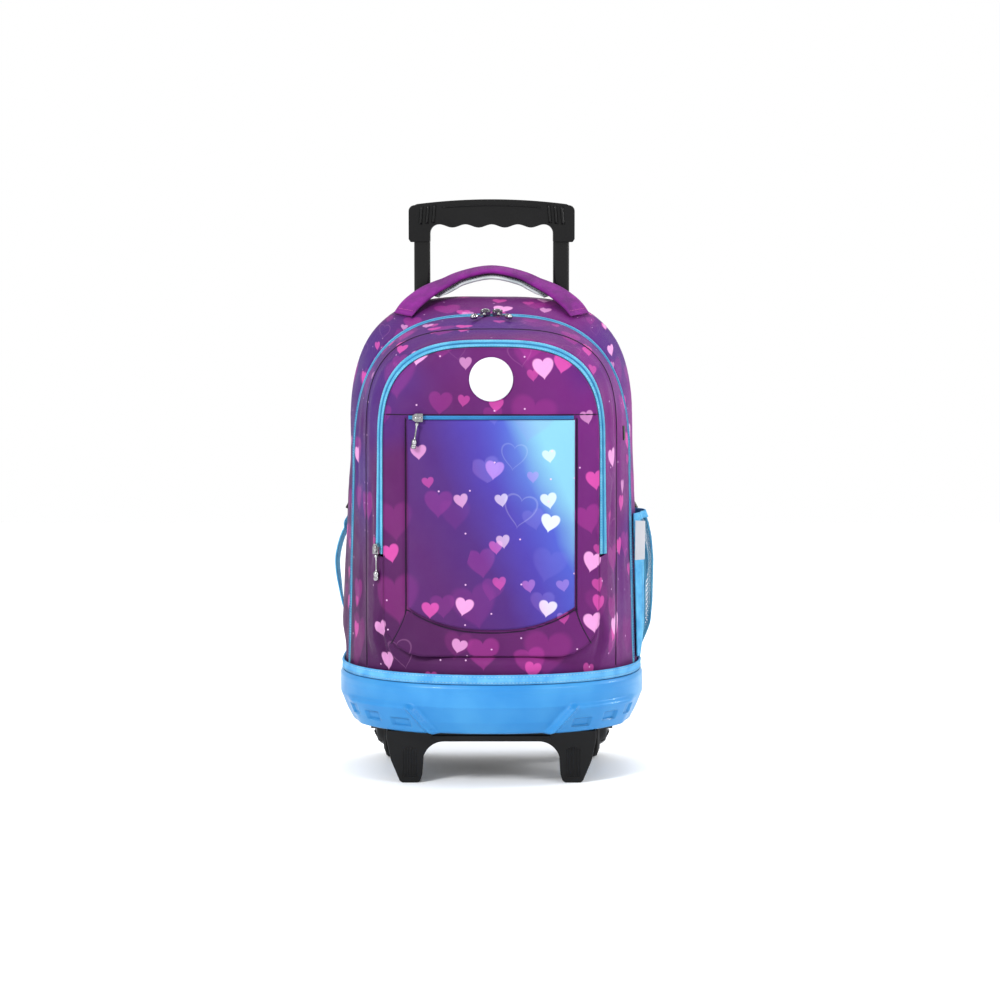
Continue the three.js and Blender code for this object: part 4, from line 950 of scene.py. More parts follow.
make_shells()
make_gusset()
make_face()
make_panel()
make_main_zip()
make_pocket_zip()
make_panel_zip()
make_seams()
make_badge()
make_sleeve()


# The tray and the running gear


TRAY_HALF_CAD, TRAY_FLARE, TRAY_WALL, WELL_RADIUS = 150.0, 9.5, 2.9, 38.8
# The tray wall's profile: share of its height, and inset as a share of the flare
TRAY_PROFILE = ((0.0, 1.45), (0.03, 1.0), (0.24, 0.42), (0.56, -0.24), (0.92, -0.26), (1.0, 0.0))
# Two moulded grooves round the tray: depth, and share of its height
TRAY_GROOVES = ((0.45, 0.9), (0.3, 0.83))


def plan_ring(inset, z, count=288, pads=True):
    """The tray's outline at a height, drawn in by an inset."""
    ring = []
    for i in range(count):
        angle = (i + 0.5) / count * 2 * math.pi
        ahead = math.sin(angle) < 0
        power, deep = (2 / FRONT_POWER, TRAY_FRONT) if ahead else (2 / BACK_POWER, TRAY_BACK)
        ax, ay = signed_power(math.cos(angle), power), signed_power(math.sin(angle), power)
        out = (pad_at(abs(ax) * TRAY_HALF_CAD, z) if ahead and pads else 0.0) - inset
        ring.append((ax * (TRAY_HALF_CAD + out), TRAY_CENTRE + ay * (deep + out), z))
    return np.array(ring)


def tray_inset(up):
    """The wall's inset at a share of its height, with the grooves."""
    grooves = sum(depth * math.exp(-((up - at) / 0.02) ** 2) for depth, at in TRAY_GROOVES)
    return float(np.interp(up, *zip(*TRAY_PROFILE))) * TRAY_FLARE + grooves


# Notches in the tray's corner pads: from and to across, low and high
PAD_NOTCHES = ((80, 97, 60.5, 68.5), (110, 121, 64, 72), (130, 137, 67, 76))
PAD_OUT, PAD_BLADE, PAD_HEIGHT, NOTCH_DEPTH = 4.2, 4.6, 31.0, 2.6
# The pads' slanted inner edge: its place across at the foot, and how far it leans outward
PAD_RIDGE, PAD_LEAN = 57.0, 21.0


def pad_at(x, z):
    """How far a corner pad stands out: a blade at its slanted inner edge, and notches."""
    up = (z - TRAY_BOTTOM) / PAD_HEIGHT
    ridge = PAD_RIDGE + PAD_LEAN * clamp(up)
    fade = (1 - smooth(0.8, 1.0, up)) * (1 - smooth(132, 144, x))
    body = smooth(ridge - 1.5, ridge + 1.0, x) * fade * PAD_OUT
    blade = PAD_BLADE * math.exp(-((x - ridge - 2.5) / 3.2) ** 2) * fade
    notch = 0.0
    for start, end, low, high in PAD_NOTCHES:
        across = smooth(start - 0.8, start, x) * (1 - smooth(end, end + 0.8, x))
        notch = max(notch, across * smooth(low - 0.7, low, z) * (1 - smooth(high, high + 0.7, z)))
    return body + blade - NOTCH_DEPTH * notch * min(body, 1.0)


TYRE_LOW, TYRE_HIGH = span("tyre_right")
WHEEL_IN, WHEEL_Y, WHEEL_Z = TYRE_LOW[0], (TYRE_LOW[1] + TYRE_HIGH[1]) / 2, (TYRE_LOW[2] + TYRE_HIGH[2]) / 2


def cut_wells(piece):
    """Cuts the round wheel wells into the tray."""
    low, high = span("wheel_housing_right")
    near, far = low[0] - CLEAR, high[0] + CLEAR
    cutters = []
    for side, _ in SIDES:
        place = (side * (near + far) / 2 * MM, WHEEL_Y * MM, WHEEL_Z * MM)
        bpy.ops.mesh.primitive_cylinder_add(vertices=96, radius=WELL_RADIUS * MM, depth=(far - near) * MM,
                                            location=place, rotation=(0, math.pi / 2, 0))
        cutters.append(bpy.context.object)
    for cutter in cutters:
        cut = piece.modifiers.new("well", "BOOLEAN")
        cut.operation, cut.object, cut.solver = "DIFFERENCE", cutter, "EXACT"
    apply_modifiers(piece)
    for cutter in cutters:
        bpy.data.objects.remove(cutter)


def make_tray():
    ups = between(0, 0.03, 3) + between(0.05, 0.2, 12) + between(0.215, 0.62, 30) + between(0.65, 0.92, 10)
    ups += [0.95, 0.98, 1.0]
    outer = [plan_ring(tray_inset(up), lerp(TRAY_BOTTOM, TRAY_TOP, up), 480) for up in ups]
    centre = np.array([0, TRAY_CENTRE, TRAY_BOTTOM])
    floor = [centre + (outer[0] - centre) * share for share in (0.02, 0.5, 0.9, 0.98)]
    piece = loop_band("tray_shell", floor + outer, TRAY_WALL, "tray")
    cut_wells(piece)
    finish_piece(piece, replaced=["base_tray"])


def apply_modifiers(piece):
    """Keeps the mesh that the modifiers give, and drops the modifiers."""
    depsgraph = bpy.context.evaluated_depsgraph_get()
    mesh = bpy.data.meshes.new_from_object(piece.evaluated_get(depsgraph))
    piece.modifiers.clear()
    piece.data = mesh


def make_rim():
    """A folded binding over the tray's edge, stitched twice."""
    low, high = RIM_LOW[2], RIM_HIGH[2]
    rows = []
    for t in between(0, 1, 11):
        drawn = 0.9 * abs(2 * t - 1) ** 5 + 0.5 * math.exp(-((t - 0.16) / 0.05) ** 2)
        rows.append(plan_ring(drawn - 0.6, lerp(low, high, t), pads=False))
    finish_piece(loop_band("rim_band", rows, 2.6, "rim_binding"), replaced=["base_rim"])
    for index, share in enumerate((0.2, 0.8)):
        height = lerp(low, high, share)
        line = plan_ring(-0.75, height, pads=False)
        line = np.concatenate([line, line[:1]])
        out = line - np.array([0, TRAY_CENTRE, height])
        stitches = studs(f"rim_stitch_{index}", line, out, (2.6, 0.6, 0.35), 3.4, "thread")
        finish_piece(stitches)


def round_edges(piece, width, segments, angle, harden=False):
    """Rounds the edges of a piece that turn by more than an angle."""
    edge = piece.modifiers.new("edge", "BEVEL")
    edge.width, edge.segments, edge.limit_method, edge.angle_limit = width * MM, segments, "ANGLE", angle
    edge.harden_normals = harden


def dress_solid(node, look, width, segments, angle):
    """A CAD part whose shape is right keeps it, and gets round edges and its material."""
    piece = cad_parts[node]
    piece.data.materials.clear()
    piece.data.materials.append(MATERIALS[look])
    round_edges(piece, width, segments, angle)


def prism(name, outline, low, high, material, width=0.8, segments=3):
    """An outline in X and Z given depth along Y, its edges rounded."""
    piece = tube_piece(name, [[(x, y, z) for x, z in outline] for y in (low, high)], material)
    round_edges(piece, width, segments, 0.6, True)
    return piece


def arc(cx, cy, radius, start, end, count):
    return [(cx + radius * math.cos(a), cy + radius * math.sin(a)) for a in between(start, end, count)]


STAND_INNER, STAND_FILLET, STAND_BAR = 67.5, 21.0, 42.0
RIB_FOOT, RIB_TOP, RIB_START, RIB_PITCH = 6.0, 37.0, 74.0, 2.6


def make_stand():
    """The cross bar and its two feet, with fine upright ribs on each foot."""
    low, high = span("front_stand")
    inner, bar = STAND_INNER, STAND_BAR
    right = arc(inner - STAND_FILLET, bar - STAND_FILLET, STAND_FILLET, math.pi / 2, 0, 14)
    right += [(inner + 0.6, 8), (70.1, 2), (72.5, 0), (88, 0), (90.4, 2), (98.8, 23), (103, bar + 3),
              (103, high[2])]
    outline = right + [(-x, z) for x, z in reversed(right)]
    piece = prism("stand_body", outline, low[1], high[1], "black_plastic", 1.2)
    lean = (high[1] - low[1]) * 0.19
    for vertex in piece.data.vertices:
        if vertex.co.y / MM < low[1] + 1:
            vertex.co.y += lean * MM * (1 - vertex.co.z / MM / high[2])
    finish_piece(piece, replaced=["front_stand"])
    for side, word in SIDES:
        for index in range(6):
            x = side * (RIB_START + index * RIB_PITCH)
            heights = between(RIB_FOOT, RIB_TOP - abs(index - 2.5) * 1.2, 8)
            path = [(x, low[1] + lean * (1 - z / high[2]) - 0.15, z) for z in heights]
            rib = cord_along(f"stand_rib_{word}_{index}", path, 0.55, "black_plastic", 8)
            finish_piece(rib)
    step = [(-58, bar + 2.2), (58, bar + 2.2), (58, bar + 6.5), (-58, bar + 6.5)]
    plate = prism("stand_step", step, low[1] - 1.0, low[1] + 0.6, "black_plastic", 0.6)
    finish_piece(plate)


def wheel_point(side, radius, along, angle):
    y, z = WHEEL_Y + radius * math.cos(angle), WHEEL_Z + radius * math.sin(angle)
    return (side * (WHEEL_IN + along), y, z)


def turned(name, profile, side, material, sides=96):
    """A shape turned about the wheel's axis from rows of radius and place along it."""
    angles = [2 * math.pi * k / sides for k in range(sides)]
    rings = [[wheel_point(side, radius, along, angle) for angle in angles] for radius, along in profile]
    return tube_piece(name, rings, material, capped=False)


# Radii of the wheel: its tread, the tread's grooves, the tyre's shoulder and bore, the hub
# and its cap
TREAD, GROOVE, SHOULDER, TYRE_BORE, HUB_EDGE, CAP_EDGE = 34.0, 33.4, 31.8, 22.3, 22.0, 15.0
SPOKES = 5
# A spoke's path over the hub from its edge inward: radius, and place along the axle
SPOKE_ROWS = ((20.8, 20.6), (19.4, 22.9), (17.8, 24.6), (15.2, 25.6), (12.0, 27.4), (8.5, 28.6))


def make_wheels():
    quarter = math.pi / 2
    tyre = [(TYRE_BORE, 0.2), (30.5, 0.2), (SHOULDER, 0.6)]
    tyre += [(lerp(SHOULDER, TREAD, math.sin(a)), 3.2 - 2.6 * math.cos(a)) for a in between(0.2, quarter, 6)]
    for groove in (6.0, 8.5, 11.0):
        tyre += [(TREAD, groove - 0.7), (GROOVE, groove - 0.35)]
        tyre += [(GROOVE, groove + 0.35), (TREAD, groove + 0.7)]
    tyre += [(lerp(SHOULDER, TREAD, math.cos(a)), 14 + 2.8 * math.sin(a)) for a in between(0.0, quarter, 6)]
    tyre += [(27.6, 18.4), (26.6, 18.9), (TYRE_BORE, 19.0), (TYRE_BORE, 0.2)]
    hub = [(3.4, 22.0), (3.4, 0.2), (21.8, 0.2), (22.28, 0.6), (22.28, 18.6), (21.9, 19.4)]
    hub += [(HUB_EDGE * (1 - t * 0.32), 19.2 + 7.6 * math.sin(t * quarter)) for t in between(0.1, 0.6, 8)]
    hub += [(17.2, 25.2), (16.6, 24.7), (15.6, 24.7), (CAP_EDGE, 25.8)]
    hub += [(CAP_EDGE * (1 - t), 26.0 + 3.0 * math.sin(t * quarter)) for t in between(0.05, 0.99, 10)]
    hub += [(0.01, 29.0), (0.01, 22.0), (3.4, 22.0)]
    for side, word in SIDES:
        body = f"wheel_{word}"
        for part, profile, look in (("tyre", tyre, "wheel_rubber"), ("hub", hub, "hub_plastic")):
            finish_piece(turned(f"{part}_{word}_round", profile, side, look), body, [f"{part}_{word}"])
        for index in range(SPOKES):
            angle = 2 * math.pi * index / SPOKES + 0.3
            path = [wheel_point(side, radius, along, angle) for radius, along in SPOKE_ROWS]
            spoke = cord_along(f"hub_spoke_{word}_{index}", path, 0.9, "hub_plastic", 8)
            finish_piece(spoke, body)


# The trolley


def make_grip():
    low, high = span("trolley_grip")
    half, under, inner = 84.4, 549.0, 62.5
    fillet, corner, wave = 9.0, 6.0, 1.6

    def crown(x):
        return high[2] - 6.0 * (x / half) ** 2

    right = []
    for t in between(0, 1, 60):
        right.append((t * (inner - fillet), under + wave * (math.cos(t * 4 * math.pi) - 1)))
    right += arc(inner - fillet, under - fillet, fillet, math.pi / 2, 0, 8)[1:]
    right += [(inner, low[2] + 0.8), (inner + 0.8, low[2]), (half - 2, low[2]), (half, low[2] + 3)]
    right += arc(half - corner, crown(half) - corner, corner, 0, math.pi / 2, 8)
    right += [(half * s, crown(half * s)) for s in between(0.9, 0.05, 18)]
    outline = right + [(-x, z) for x, z in reversed(right[1:])]
    piece = prism("grip_body", outline, low[1], high[1], "black_plastic", 3.4, 5)
    finish_piece(piece, "handle_upper", ["trolley_grip"])
    lines = {"grip_line": ([(x, low[1] - 0.1, crown(x) - 6.2) for x in between(-50, 50, 40)], 0.7, 8)}
    for side, word in SIDES:
        for index, x in enumerate((58.0, 64.5, 71.0)):
            path = [(side * (x + 1.5 * t), low[1] - 0.35, crown(x) - 3 - 18 * t) for t in between(0, 1, 8)]
            lines[f"grip_rib_{word}_{index}"] = (path, 1.7, 10)
    for name, (path, radius, sides) in lines.items():
        piece = cord_along(name, path, radius, "black_plastic", sides)
        finish_piece(piece, "handle_upper")


TUBE_IN_GRIP, TUBE_WALL = 1.2, 1.2


def make_tube(node, body, radius):
    """A tube with round corners, in place of its faceted solid."""
    low, high = np.array(span(node))
    middle, half = (low + high)[:2] / 2, (high - low)[:2] / 2
    outline = []
    for quarter, corner in enumerate(((1, 1), (-1, 1), (-1, -1), (1, -1))):
        x, y = middle + np.array(corner) * (half - radius)
        outline += arc(x, y, radius, quarter * math.pi / 2, (quarter + 1) * math.pi / 2, 7)
    inside = middle + (np.array(outline) - middle) * (1 - TUBE_WALL / half)
    rows = between(low[2], high[2] + (TUBE_IN_GRIP if body == "handle_upper" else 0.0), 3)
    points = [(x, y, z) for wall in (outline, inside) for x, y in wall for z in rows]
    piece = make_object(f"{node}_round", points, sheet_faces(len(outline), len(rows), True), "tube")
    round_edges(piece, 0.3, 2, 1.0, True)
    finish_piece(piece, body, [node])


# The trolley's stages: name, body and corner radius
STAGES = (("outer", "bag", 6.0), ("middle", "handle_middle", 4.5), ("inner", "handle_upper", 3.0))


def make_trolley():
    for _, word in SIDES:
        for stage, body, radius in STAGES:
            make_tube(f"{stage}_tube_{word}", body, radius)
    make_grip()


# Carry handle and straps


# Half of the handle's path: shares across, of its lean to the back, and of its rise
HANDLE_ROWS = ((0.0, 1.0, 1.0), (0.364, 0.87, 0.77), (0.5, 0.77, 0.58), (0.71, 0.5, 0.35),
               (0.91, 0.17, 0.16), (1.0, 0.0, 0.0))
HANDLE_HALF, HANDLE_BASE, HANDLE_LEAN, HANDLE_RISE, HANDLE_WIDTH = 88.0, 14.0, 30.0, 25.3, 30.0
HANDLE_COVER, HANDLE_PAD, HANDLE_TAIL, HANDLE_POWER = 6.2, 5.6, 2.4, 2.6
# The part of the handle's length that its pad takes up
PAD_START, PAD_END = 5 / 24, 19 / 24


def skin_normal(x, y):
    slope_x = (skin_top(x + 2, y) - skin_top(x - 2, y)) / 4
    slope_y = (skin_top(x, y + 2) - skin_top(x, y - 2)) / 4
    return unit(np.array([-slope_x, -slope_y, 1.0]))


def through(points, samples):
    """A centripetal Catmull-Rom curve through points, as the CAD paths run."""
    points = [np.asarray(p, float) for p in points]
    points = [2 * points[0] - points[1]] + points + [2 * points[-1] - points[-2]]
    out = []
    spans = len(points) - 3
    for sample in samples:
        place = clamp(sample, 0, 1) * spans
        k = min(int(place), spans - 1)
        t = place - k
        p0, p1, p2, p3 = points[k:k + 4]
        d0, d1, d2 = (max(np.linalg.norm(b - a) ** 0.5, 1e-4) for a, b in ((p0, p1), (p1, p2), (p2, p3)))
        m1 = ((p1 - p0) / d0 - (p2 - p0) / (d0 + d1) + (p2 - p1) / d1) * d1
        m2 = ((p2 - p1) / d1 - (p3 - p1) / (d1 + d2) + (p3 - p2) / d2) * d1
        a, b = 2 * p1 - 2 * p2 + m1 + m2, -3 * p1 + 3 * p2 - 2 * m1 - m2
        out.append(a * t ** 3 + b * t ** 2 + m1 * t + p1)
    return np.array(out)


def band_frames(stops, faces, samples):
    """A band's path through its stops, with its sideways and outward directions."""
    path = through(stops, samples)
    places = np.linspace(0, 1, len(faces))
    looks = np.stack([np.interp(samples, places, [face[k] for face in faces]) for k in range(3)], axis=1)
    along = unit(np.gradient(path, axis=0))
    side = unit(np.cross(looks, along))
    return path, side, np.cross(along, side)


def band_piece(name, frames, section, material, prints=False):
    """A band through frames. The section gives its outline at a share of its length."""
    shares = between(0, 1, len(frames[0]))
    rings = []
    for spot, side, face, t in zip(*frames, shares):
        rings.append([spot + side * s + face * f for s, f in section(t)])
    x, y, z = np.array(rings).reshape(-1, 3).T
    return tube_piece(name, rings, material, np.stack([x, y + z], axis=1) if prints else None)


def soft_section(half, deep, power, count=28):
    """A padded band's cross-section: a rounded oblong."""
    return [(signed_power(c, 2 / power) * half, signed_power(s, 2 / power) * deep) for c, s in circle(count)]


def handle_stops():
    stops, faces = [], []
    crest = np.array([0, -0.16, 0.98])
    for across, lean, rise in HANDLE_ROWS:
        x, y = HANDLE_HALF * across, HANDLE_BASE + HANDLE_LEAN * lean
        normal = skin_normal(x, y)
        stop = np.array([x, y, skin_top(x, y) + HANDLE_RISE * rise])
        stops.append(stop + normal * (CLEAR + HANDLE_TAIL / 2))
        faces.append(unit(crest + (normal - crest) * across ** 1.5))
    flip = np.array([-1, 1, 1])
    return [p * flip for p in stops[:0:-1]] + stops, [f * flip for f in faces[:0:-1]] + faces


def make_handle():
    stops, faces = handle_stops()
    frames = band_frames(stops, faces, between(0, 1, 97))

    def cover(t):
        swell = smooth(0, 0.14, min(t, 1 - t))
        return soft_section(HANDLE_WIDTH / 2, lerp(HANDLE_TAIL, HANDLE_COVER, swell) / 2, HANDLE_POWER)

    piece = band_piece("carry_handle_cover", frames, cover, "handle_fabric", True)
    finish_piece(piece, replaced=["carry_handle"])
    path, side, face = band_frames(stops, faces, between(PAD_START, PAD_END, 65))
    path = path - face * (HANDLE_COVER / 2 + 0.25 + HANDLE_PAD / 2)

    def pad(t):
        thick = lerp(1.2, HANDLE_PAD, smooth(0, 0.1, min(t, 1 - t)))
        return soft_section((HANDLE_WIDTH - 2.4) / 2, thick / 2, HANDLE_POWER)

    under = band_piece("handle_pad_cover", (path, side, face), pad, "air_mesh")
    finish_piece(under, replaced=["handle_pad"])
    for word, out in (("front", side), ("back", -side)):
        line = path + out * (HANDLE_WIDTH / 2 - 1.2) + face * (HANDLE_PAD / 2 - 0.2)
        stitches = studs(f"handle_stitch_{word}", line, out, (1.4, 0.8, 0.5), 2.7, "dark_thread", lift=0.1)
        finish_piece(stitches)
    for end, word in ((4, "left"), (92, "right")):
        spot, across, out = (part[end] for part in frames)
        reach = HANDLE_WIDTH / 2 - 2
        line = [spot + across * s + out * 1.6 for s in between(-reach, reach, 12)]
        stitches = studs(f"handle_end_stitch_{word}", line, [out] * 12, (1.8, 0.5, 0.4), 2.4, "pink_thread")
        finish_piece(stitches)


# Rows of a strap and of its webbing: shares across, of the way out from the bag, and up
STRAP_ROWS = ((0.25, 0.0, 0.965), (0.3, 0.3, 0.91), (0.42, 0.7, 0.8), (0.6, 1.0, 0.665), (0.76, 1.0, 0.54),
              (0.86, 0.85, 0.455))
WEB_ROWS = ((0.0, 1.27, 0.36), (1.0, 1.17, 0.277), (0.75, 1.0, 0.195), (0.1, 0.6, 0.128),
            (-0.85, 0.36, 0.06))
STRAP_WIDTH, STRAP_TAPER, STRAP_THICK, STRAP_BOW = 52.0, 0.72, 9.0, 8.0
LOCK_LENGTH, WEB_WIDTH, WEB_OUT, WEB_THICK = 18.0, 20.0, 8.5, 2.0


def sleeve_up(share):
    return lerp(RIM_TOP, SLEEVE_TOP, share)


def strap_half(t):
    """Half of a strap's width at a share of its length."""
    return STRAP_WIDTH * lerp(1, STRAP_TAPER, smooth(0.5, 1, t)) / 2


def strap_paths(side):
    """The stops of a strap's pad, and of the webbing from its adjuster to the bag's foot."""
    back = SLEEVE_FRONT + SLEEVE_DEPTH + CLEAR + STRAP_THICK / 2
    strap = [np.array([side * BODY_HALF * a, back + STRAP_BOW * o, sleeve_up(u)]) for a, o, u in STRAP_ROWS]
    ends = through(strap, [0.998, 1.0])
    along = unit(ends[1] - ends[0])
    web = [strap[-1] + along * (3 * CLEAR + LOCK_LENGTH + reach) for reach in (0, WEB_WIDTH / 2)]
    for o, b, u in WEB_ROWS:
        x, y = side * (BODY_HALF + WEB_OUT * o), SLEEVE_FRONT + SLEEVE_DEPTH * b
        web.append(np.array([x, y, sleeve_up(u)]))
    foot = web[-1]
    share = clamp((foot[1] - SLEEVE_FRONT) / SLEEVE_DEPTH)
    x = sleeve_half(foot[2]) * (1 - share ** 4) ** 0.25
    foot[0] = side * (tucked(x, foot[1], foot[2])[0] + CLEAR + WEB_THICK / 2)
    return strap, web


def make_straps():
    straight, samples = np.array([0, 1.0, 0]), between(0, 1, 60)

    def pad(t):
        thick = STRAP_THICK / 2 * lerp(0.5, 1, smooth(0, 0.1, 1 - t))
        return soft_section(strap_half(t) - 1.0, thick, 3.2, 32)

    def tape(_):
        return soft_section(WEB_WIDTH / 2 - 0.3, WEB_THICK / 2, 5.0, 32)

    for side, word in SIDES:
        strap, web = strap_paths(side)
        frames = band_frames(strap, [straight] * len(strap), samples)
        piece = band_piece(f"shoulder_strap_{word}_pad", frames, pad, "strap_fabric", True)
        finish_piece(piece, replaced=[f"shoulder_strap_{word}"])
        for edge, place in ((-1, "inner"), (1, "outer")):
            reach = np.array([edge * (strap_half(t) - 0.9) for t in samples])
            line = frames[0] + frames[1] * reach[:, None]
            piping = cord_along(f"strap_piping_{word}_{place}", line, 1.5, "webbing", 10)
            finish_piece(piping)
        looks = [straight, straight] + [np.array([side, 0.15, 0])] * (len(web) - 2)
        ribbon = band_frames(web, looks, between(0, 1, 70))
        webbing = band_piece(f"strap_webbing_{word}_tape", ribbon, tape, "webbing")
        finish_piece(webbing, replaced=[f"strap_webbing_{word}"])


# The net pocket


POCKET_FRONT, POCKET_BACK, POCKET_FOOT, POCKET_HEIGHT, POCKET_BULGE = -4.0, 57.0, 3.0, 147.0, 15.0
# How far the net bulges, as shares: up the pocket, and along it from front to back
POCKET_UP = ((0, 0.13), (0.08, 0.35), (0.2, 0.6), (0.35, 0.8), (0.5, 0.9), (0.65, 1),
             (0.8, 0.95), (0.9, 0.8), (0.95, 0.66), (1, 0.5))
POCKET_ALONG = ((0, 0), (0.15, 0.4), (0.3, 0.52), (0.42, 0.42), (0.55, 0.85), (0.7, 1), (0.85, 0.75), (1, 0))


def pocket_point(along, up, out):
    y = lerp(POCKET_FRONT, POCKET_BACK, along)
    z = lerp(RIM_TOP + POCKET_FOOT, RIM_TOP + POCKET_HEIGHT, up)
    x = tucked(half_at(row_at(share_at(y)), z), y, z)
    bulge = POCKET_BULGE * np.interp(up, *zip(*POCKET_UP)) * np.interp(along, *zip(*POCKET_ALONG))
    return (x[0] + CLEAR + bulge + out, x[1], z)


def make_net():
    """The pocket's net: diamond holes between real strands."""
    columns, rows = 40, 62
    points, index = [], {}
    for j in range(rows + 1):
        for i in range(j % 2, columns + 1, 2):
            index[i, j] = len(points)
            points.append(pocket_point(i / columns, j / rows, 0.5))
    faces = []
    for j in range(rows - 1):
        for i in range(1 + j % 2, columns, 2):
            corners = ((i - 1, j), (i, j - 1), (i + 1, j), (i, j + 1))
            faces.append([index[corner] for corner in corners if corner in index])
    piece = make_object("bottle_pocket_net", points, faces, "mesh")
    strands = piece.modifiers.new("strands", "WIREFRAME")
    strands.thickness, strands.use_even_offset, strands.use_boundary = 0.9 * MM, False, True
    apply_modifiers(piece)
    piece.data.polygons.foreach_set("use_smooth", [True] * len(piece.data.polygons))
    finish_piece(piece, replaced=["bottle_pocket"])


def pocket_strip(name, alongs, ups, material, base=1.5, wall=1.2):
    grid = [[pocket_point(a, u, base + wall) for u in ups] for a in alongs]
    return sheet_piece(name, grid, wall, material)


def make_pocket_trim():
    binding = pocket_strip("pocket_binding_tape", between(-0.05, 0.15, 9), between(0, 1, 60), "webbing")
    finish_piece(binding, replaced=["bottle_pocket_binding"])
    mouth = pocket_strip("pocket_mouth_tape", between(0.17, 1.0, 50), between(0.95, 1.0, 5), "webbing")
    finish_piece(mouth, replaced=["bottle_pocket_mouth"])
    line = [pocket_point(0.115, u, 2.8) for u in between(0.02, 0.98, 60)]
    stitches = studs("pocket_stitch", line, [(0.9, -0.4, 0)] * 60, (2.0, 0.5, 0.4), 2.8, "thread")
    finish_piece(stitches)


def make_tag():
    low, high = span("side_tag")
    outline = [(low[0] + 0.2, low[2] + 0.2), (high[0] - 0.4, low[2] + 1.0), (high[0], high[2] - 0.4),
               (low[0] + 0.6, high[2])]
    piece = prism("side_tag_label", outline, low[1], high[1], "badge", 0.3, 2)
    finish_piece(piece, replaced=["side_tag"])


# Zip sliders and pulls


def sweep_round(name, rows, start, towards, material, sides=20):
    """A round part from rows of radius and place along a line."""
    turn = towards.to_track_quat("Z", "Y").to_matrix()
    rings = [[start + turn @ Vector((r * c, r * s, d)) for c, s in circle(sides)] for r, d in rows]
    return tube_piece(name, rings, material)


# A zip pull's radius and place along it: eye, rod, and a knob of two lobes
PULL_ROWS = ((0.3, 0.0), (1.5, 0.5), (2.0, 1.4), (1.8, 2.4), (1.0, 3.6), (0.85, 6.0), (0.85, 14.5),
             (1.1, 16.0), (2.3, 17.2), (2.8, 18.4), (2.6, 20.0), (2.2, 21.0), (2.5, 22.0), (2.8, 23.6),
             (2.3, 25.2), (0.8, 25.9))


# Each zip pull: where it points from its slider, the way its slider runs, and the way out
PULLS = {
    "main_right": ((0.5, -0.85, -0.08), (1, 0, 0), (0, -0.3, 0.95)),
    "main_left": ((-0.5, -0.85, -0.08), (-1, 0, 0), (0, -0.3, 0.95)),
    "pocket": ((0, 0, -1), (0, 0, 1), (-0.5, -0.85, 0)),
    "panel": ((-0.15, 0, -1), (-1, 0, 0), (0, -1, 0)),
}
PULL_HALF = 13.0


def middle_of(node):
    low, high = span(node)
    return Vector([(a + b) / 2 for a, b in zip(low, high)])


def make_pulls():
    """Round pulls with a two-lobed knob, and wedge sliders with a ring, as the solids lie."""
    for word, ways in PULLS.items():
        towards, run, out = (Vector(way).normalized() for way in ways)
        start = middle_of(f"zip_pull_{word}") - towards * PULL_HALF
        pull = sweep_round(f"pull_{word}_rod", PULL_ROWS, start, towards, "pull_metal")
        finish_piece(pull, replaced=[f"zip_pull_{word}"])
        dress_solid(f"zip_slider_{word}", "pull_metal", 0.8, 3, math.radians(30))
        centre = middle_of(f"zip_slider_{word}")
        ring = [centre + out * (1.9 + 1.6 * s) + run * (3.4 * c) for c, s in circle(32)]
        loop = cord_along(f"slider_ring_{word}", ring + ring[:1], 0.7, "pull_metal", 10)
        finish_piece(loop)


# The painted shadow's place in the slot: shares of the bag's depth, and heights
SLOT_DEPTHS, SLOT_HEIGHTS = (0.575, 0.615), (336.0, 350.0)


def make_slot_shadow():
    """A black sheet painted as the shadow in a short slot of the front half, beside the main zip."""
    grid = []
    for share in between(*SLOT_DEPTHS, 9):
        row = row_at(share)
        grid.append([tucked(half_at(row, z) + 0.5, row["y"], z) for z in between(*SLOT_HEIGHTS, 9)])
    # Painted shadow: a black sheet stands in for the shade inside the slot's gap.
    piece = sheet_piece("slot_shadow", grid, 0.8, "black_plastic")
    finish_piece(piece)


def make_small_hard_parts():
    for node in ("chassis_plate", "wheel_housing_left", "wheel_housing_right", "tube_guide",
                 "strap_adjuster_left", "strap_adjuster_right", "axle"):
        dress_solid(node, "steel" if node == "axle" else "black_plastic", 0.6, 2, 0.7)


make_tray()
make_rim()
make_stand()
make_wheels()
make_trolley()
make_handle()
make_straps()
make_net()
make_pocket_trim()
make_tag()
make_pulls()
make_slot_shadow()
make_small_hard_parts()


# Floor, light and camera


FLOOR_HALF = 2.6


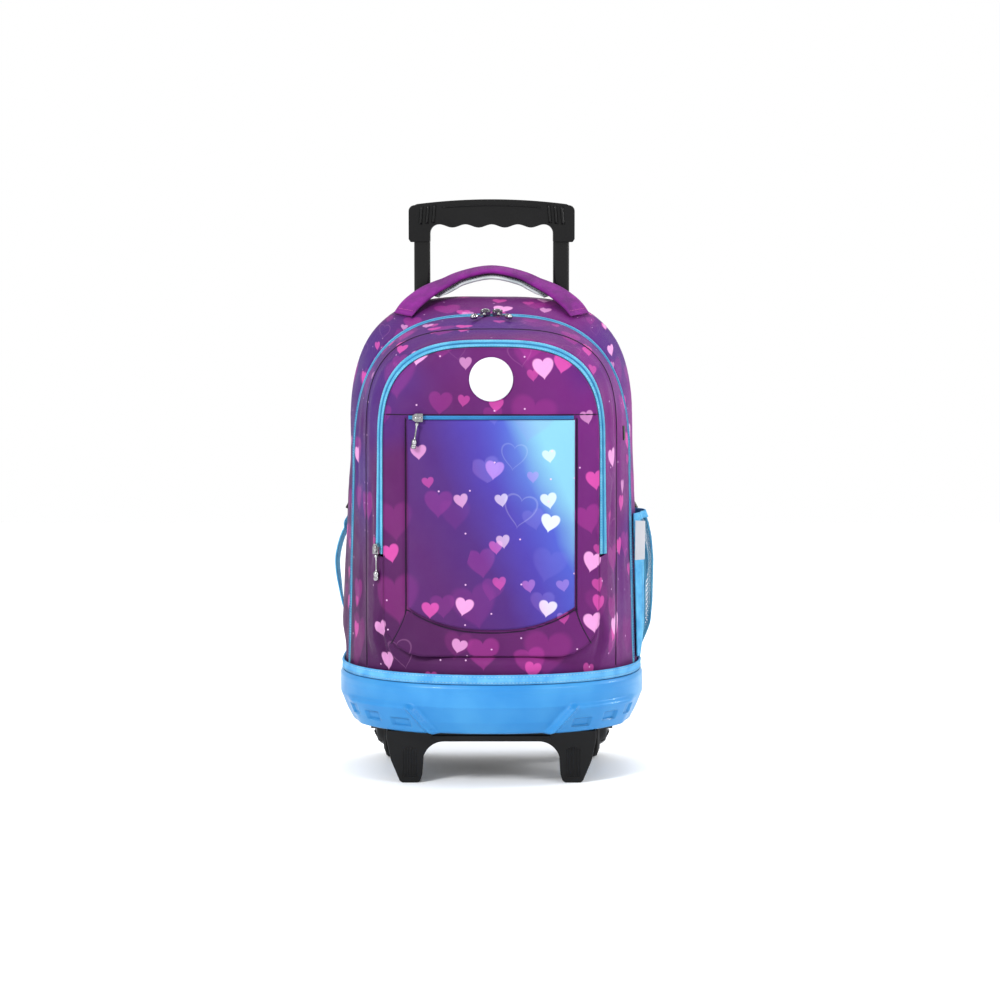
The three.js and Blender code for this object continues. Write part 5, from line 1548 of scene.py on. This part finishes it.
def make_stage():
    mesh = bpy.data.meshes.new("floor")
    corners = [(x * FLOOR_HALF, y * FLOOR_HALF, 0) for x, y in ((-1, -1), (1, -1), (1, 1), (-1, 1))]
    mesh.from_pydata(corners, [], [(0, 1, 2, 3)])
    floor = bpy.data.objects.new("floor", mesh)
    bpy.context.scene.collection.objects.link(floor)
    material, n, shader, where = new_material("floor")
    cloud = n.noise(where, 0.8, 2.0, 0.5)
    tint = n.mix(n.ramp(cloud, 0.3, 0.7), (0.95, 0.96, 0.975, 1), (0.97, 0.975, 0.985, 1))
    set_shader(n, shader, base_color=tint, roughness=0.55, specular_ior_level=0.2)
    mesh.materials.append(material)


# Each light: place, aim, size in metres, and power in watts
LIGHTS = {
    "key": ((-1.6, -2.2, 1.9), (0, 0, 0.25), 0.7, 78),
    "fill": ((1.9, -1.9, 1.3), (0, 0, 0.25), 1.0, 22),
    "top": ((0.2, 0.6, 2.4), (0, 0, 0.3), 1.2, 16),
    "edge": ((1.5, 0.2, 0.7), (0, 0, 0.35), 0.3, 9),
}


def make_lights():
    for name, (place, aim, size, power) in LIGHTS.items():
        light = bpy.data.lights.new(name, "AREA")
        light.shape, light.size, light.energy = "DISK", size, power
        holder = bpy.data.objects.new(name, light)
        holder.location = place
        holder.rotation_euler = (Vector(aim) - Vector(place)).to_track_quat("-Z", "Y").to_euler()
        bpy.context.scene.collection.objects.link(holder)
    world = bpy.data.worlds.new("studio")
    world.use_nodes = True
    back = world.node_tree.nodes["Background"]
    back.inputs["Color"].default_value = (1.0, 1.0, 1.0, 1.0)
    back.inputs["Strength"].default_value = 1.0
    bpy.context.scene.world = world


CAMERA_DISTANCE = 2.8
CAMERA_LIFT = math.radians(5)
CAMERA_AIM = Vector((0.0085, 0.0, 0.2738))


def make_camera():
    camera = bpy.data.cameras.new("camera")
    camera.sensor_width, camera.lens = 36.0, 36.0 * CAMERA_DISTANCE
    camera.clip_end = 60
    holder = bpy.data.objects.new("camera", camera)
    away = Vector((0, -math.cos(CAMERA_LIFT), math.sin(CAMERA_LIFT)))
    holder.location = CAMERA_AIM + away * CAMERA_DISTANCE
    holder.rotation_euler = (-away).to_track_quat("-Z", "Y").to_euler()
    bpy.context.scene.collection.objects.link(holder)
    bpy.context.scene.camera = holder


make_stage()
make_lights()
make_camera()
bpy.context.scene.view_settings.view_transform = "Standard"
bpy.context.scene.view_settings.gamma = 0.88
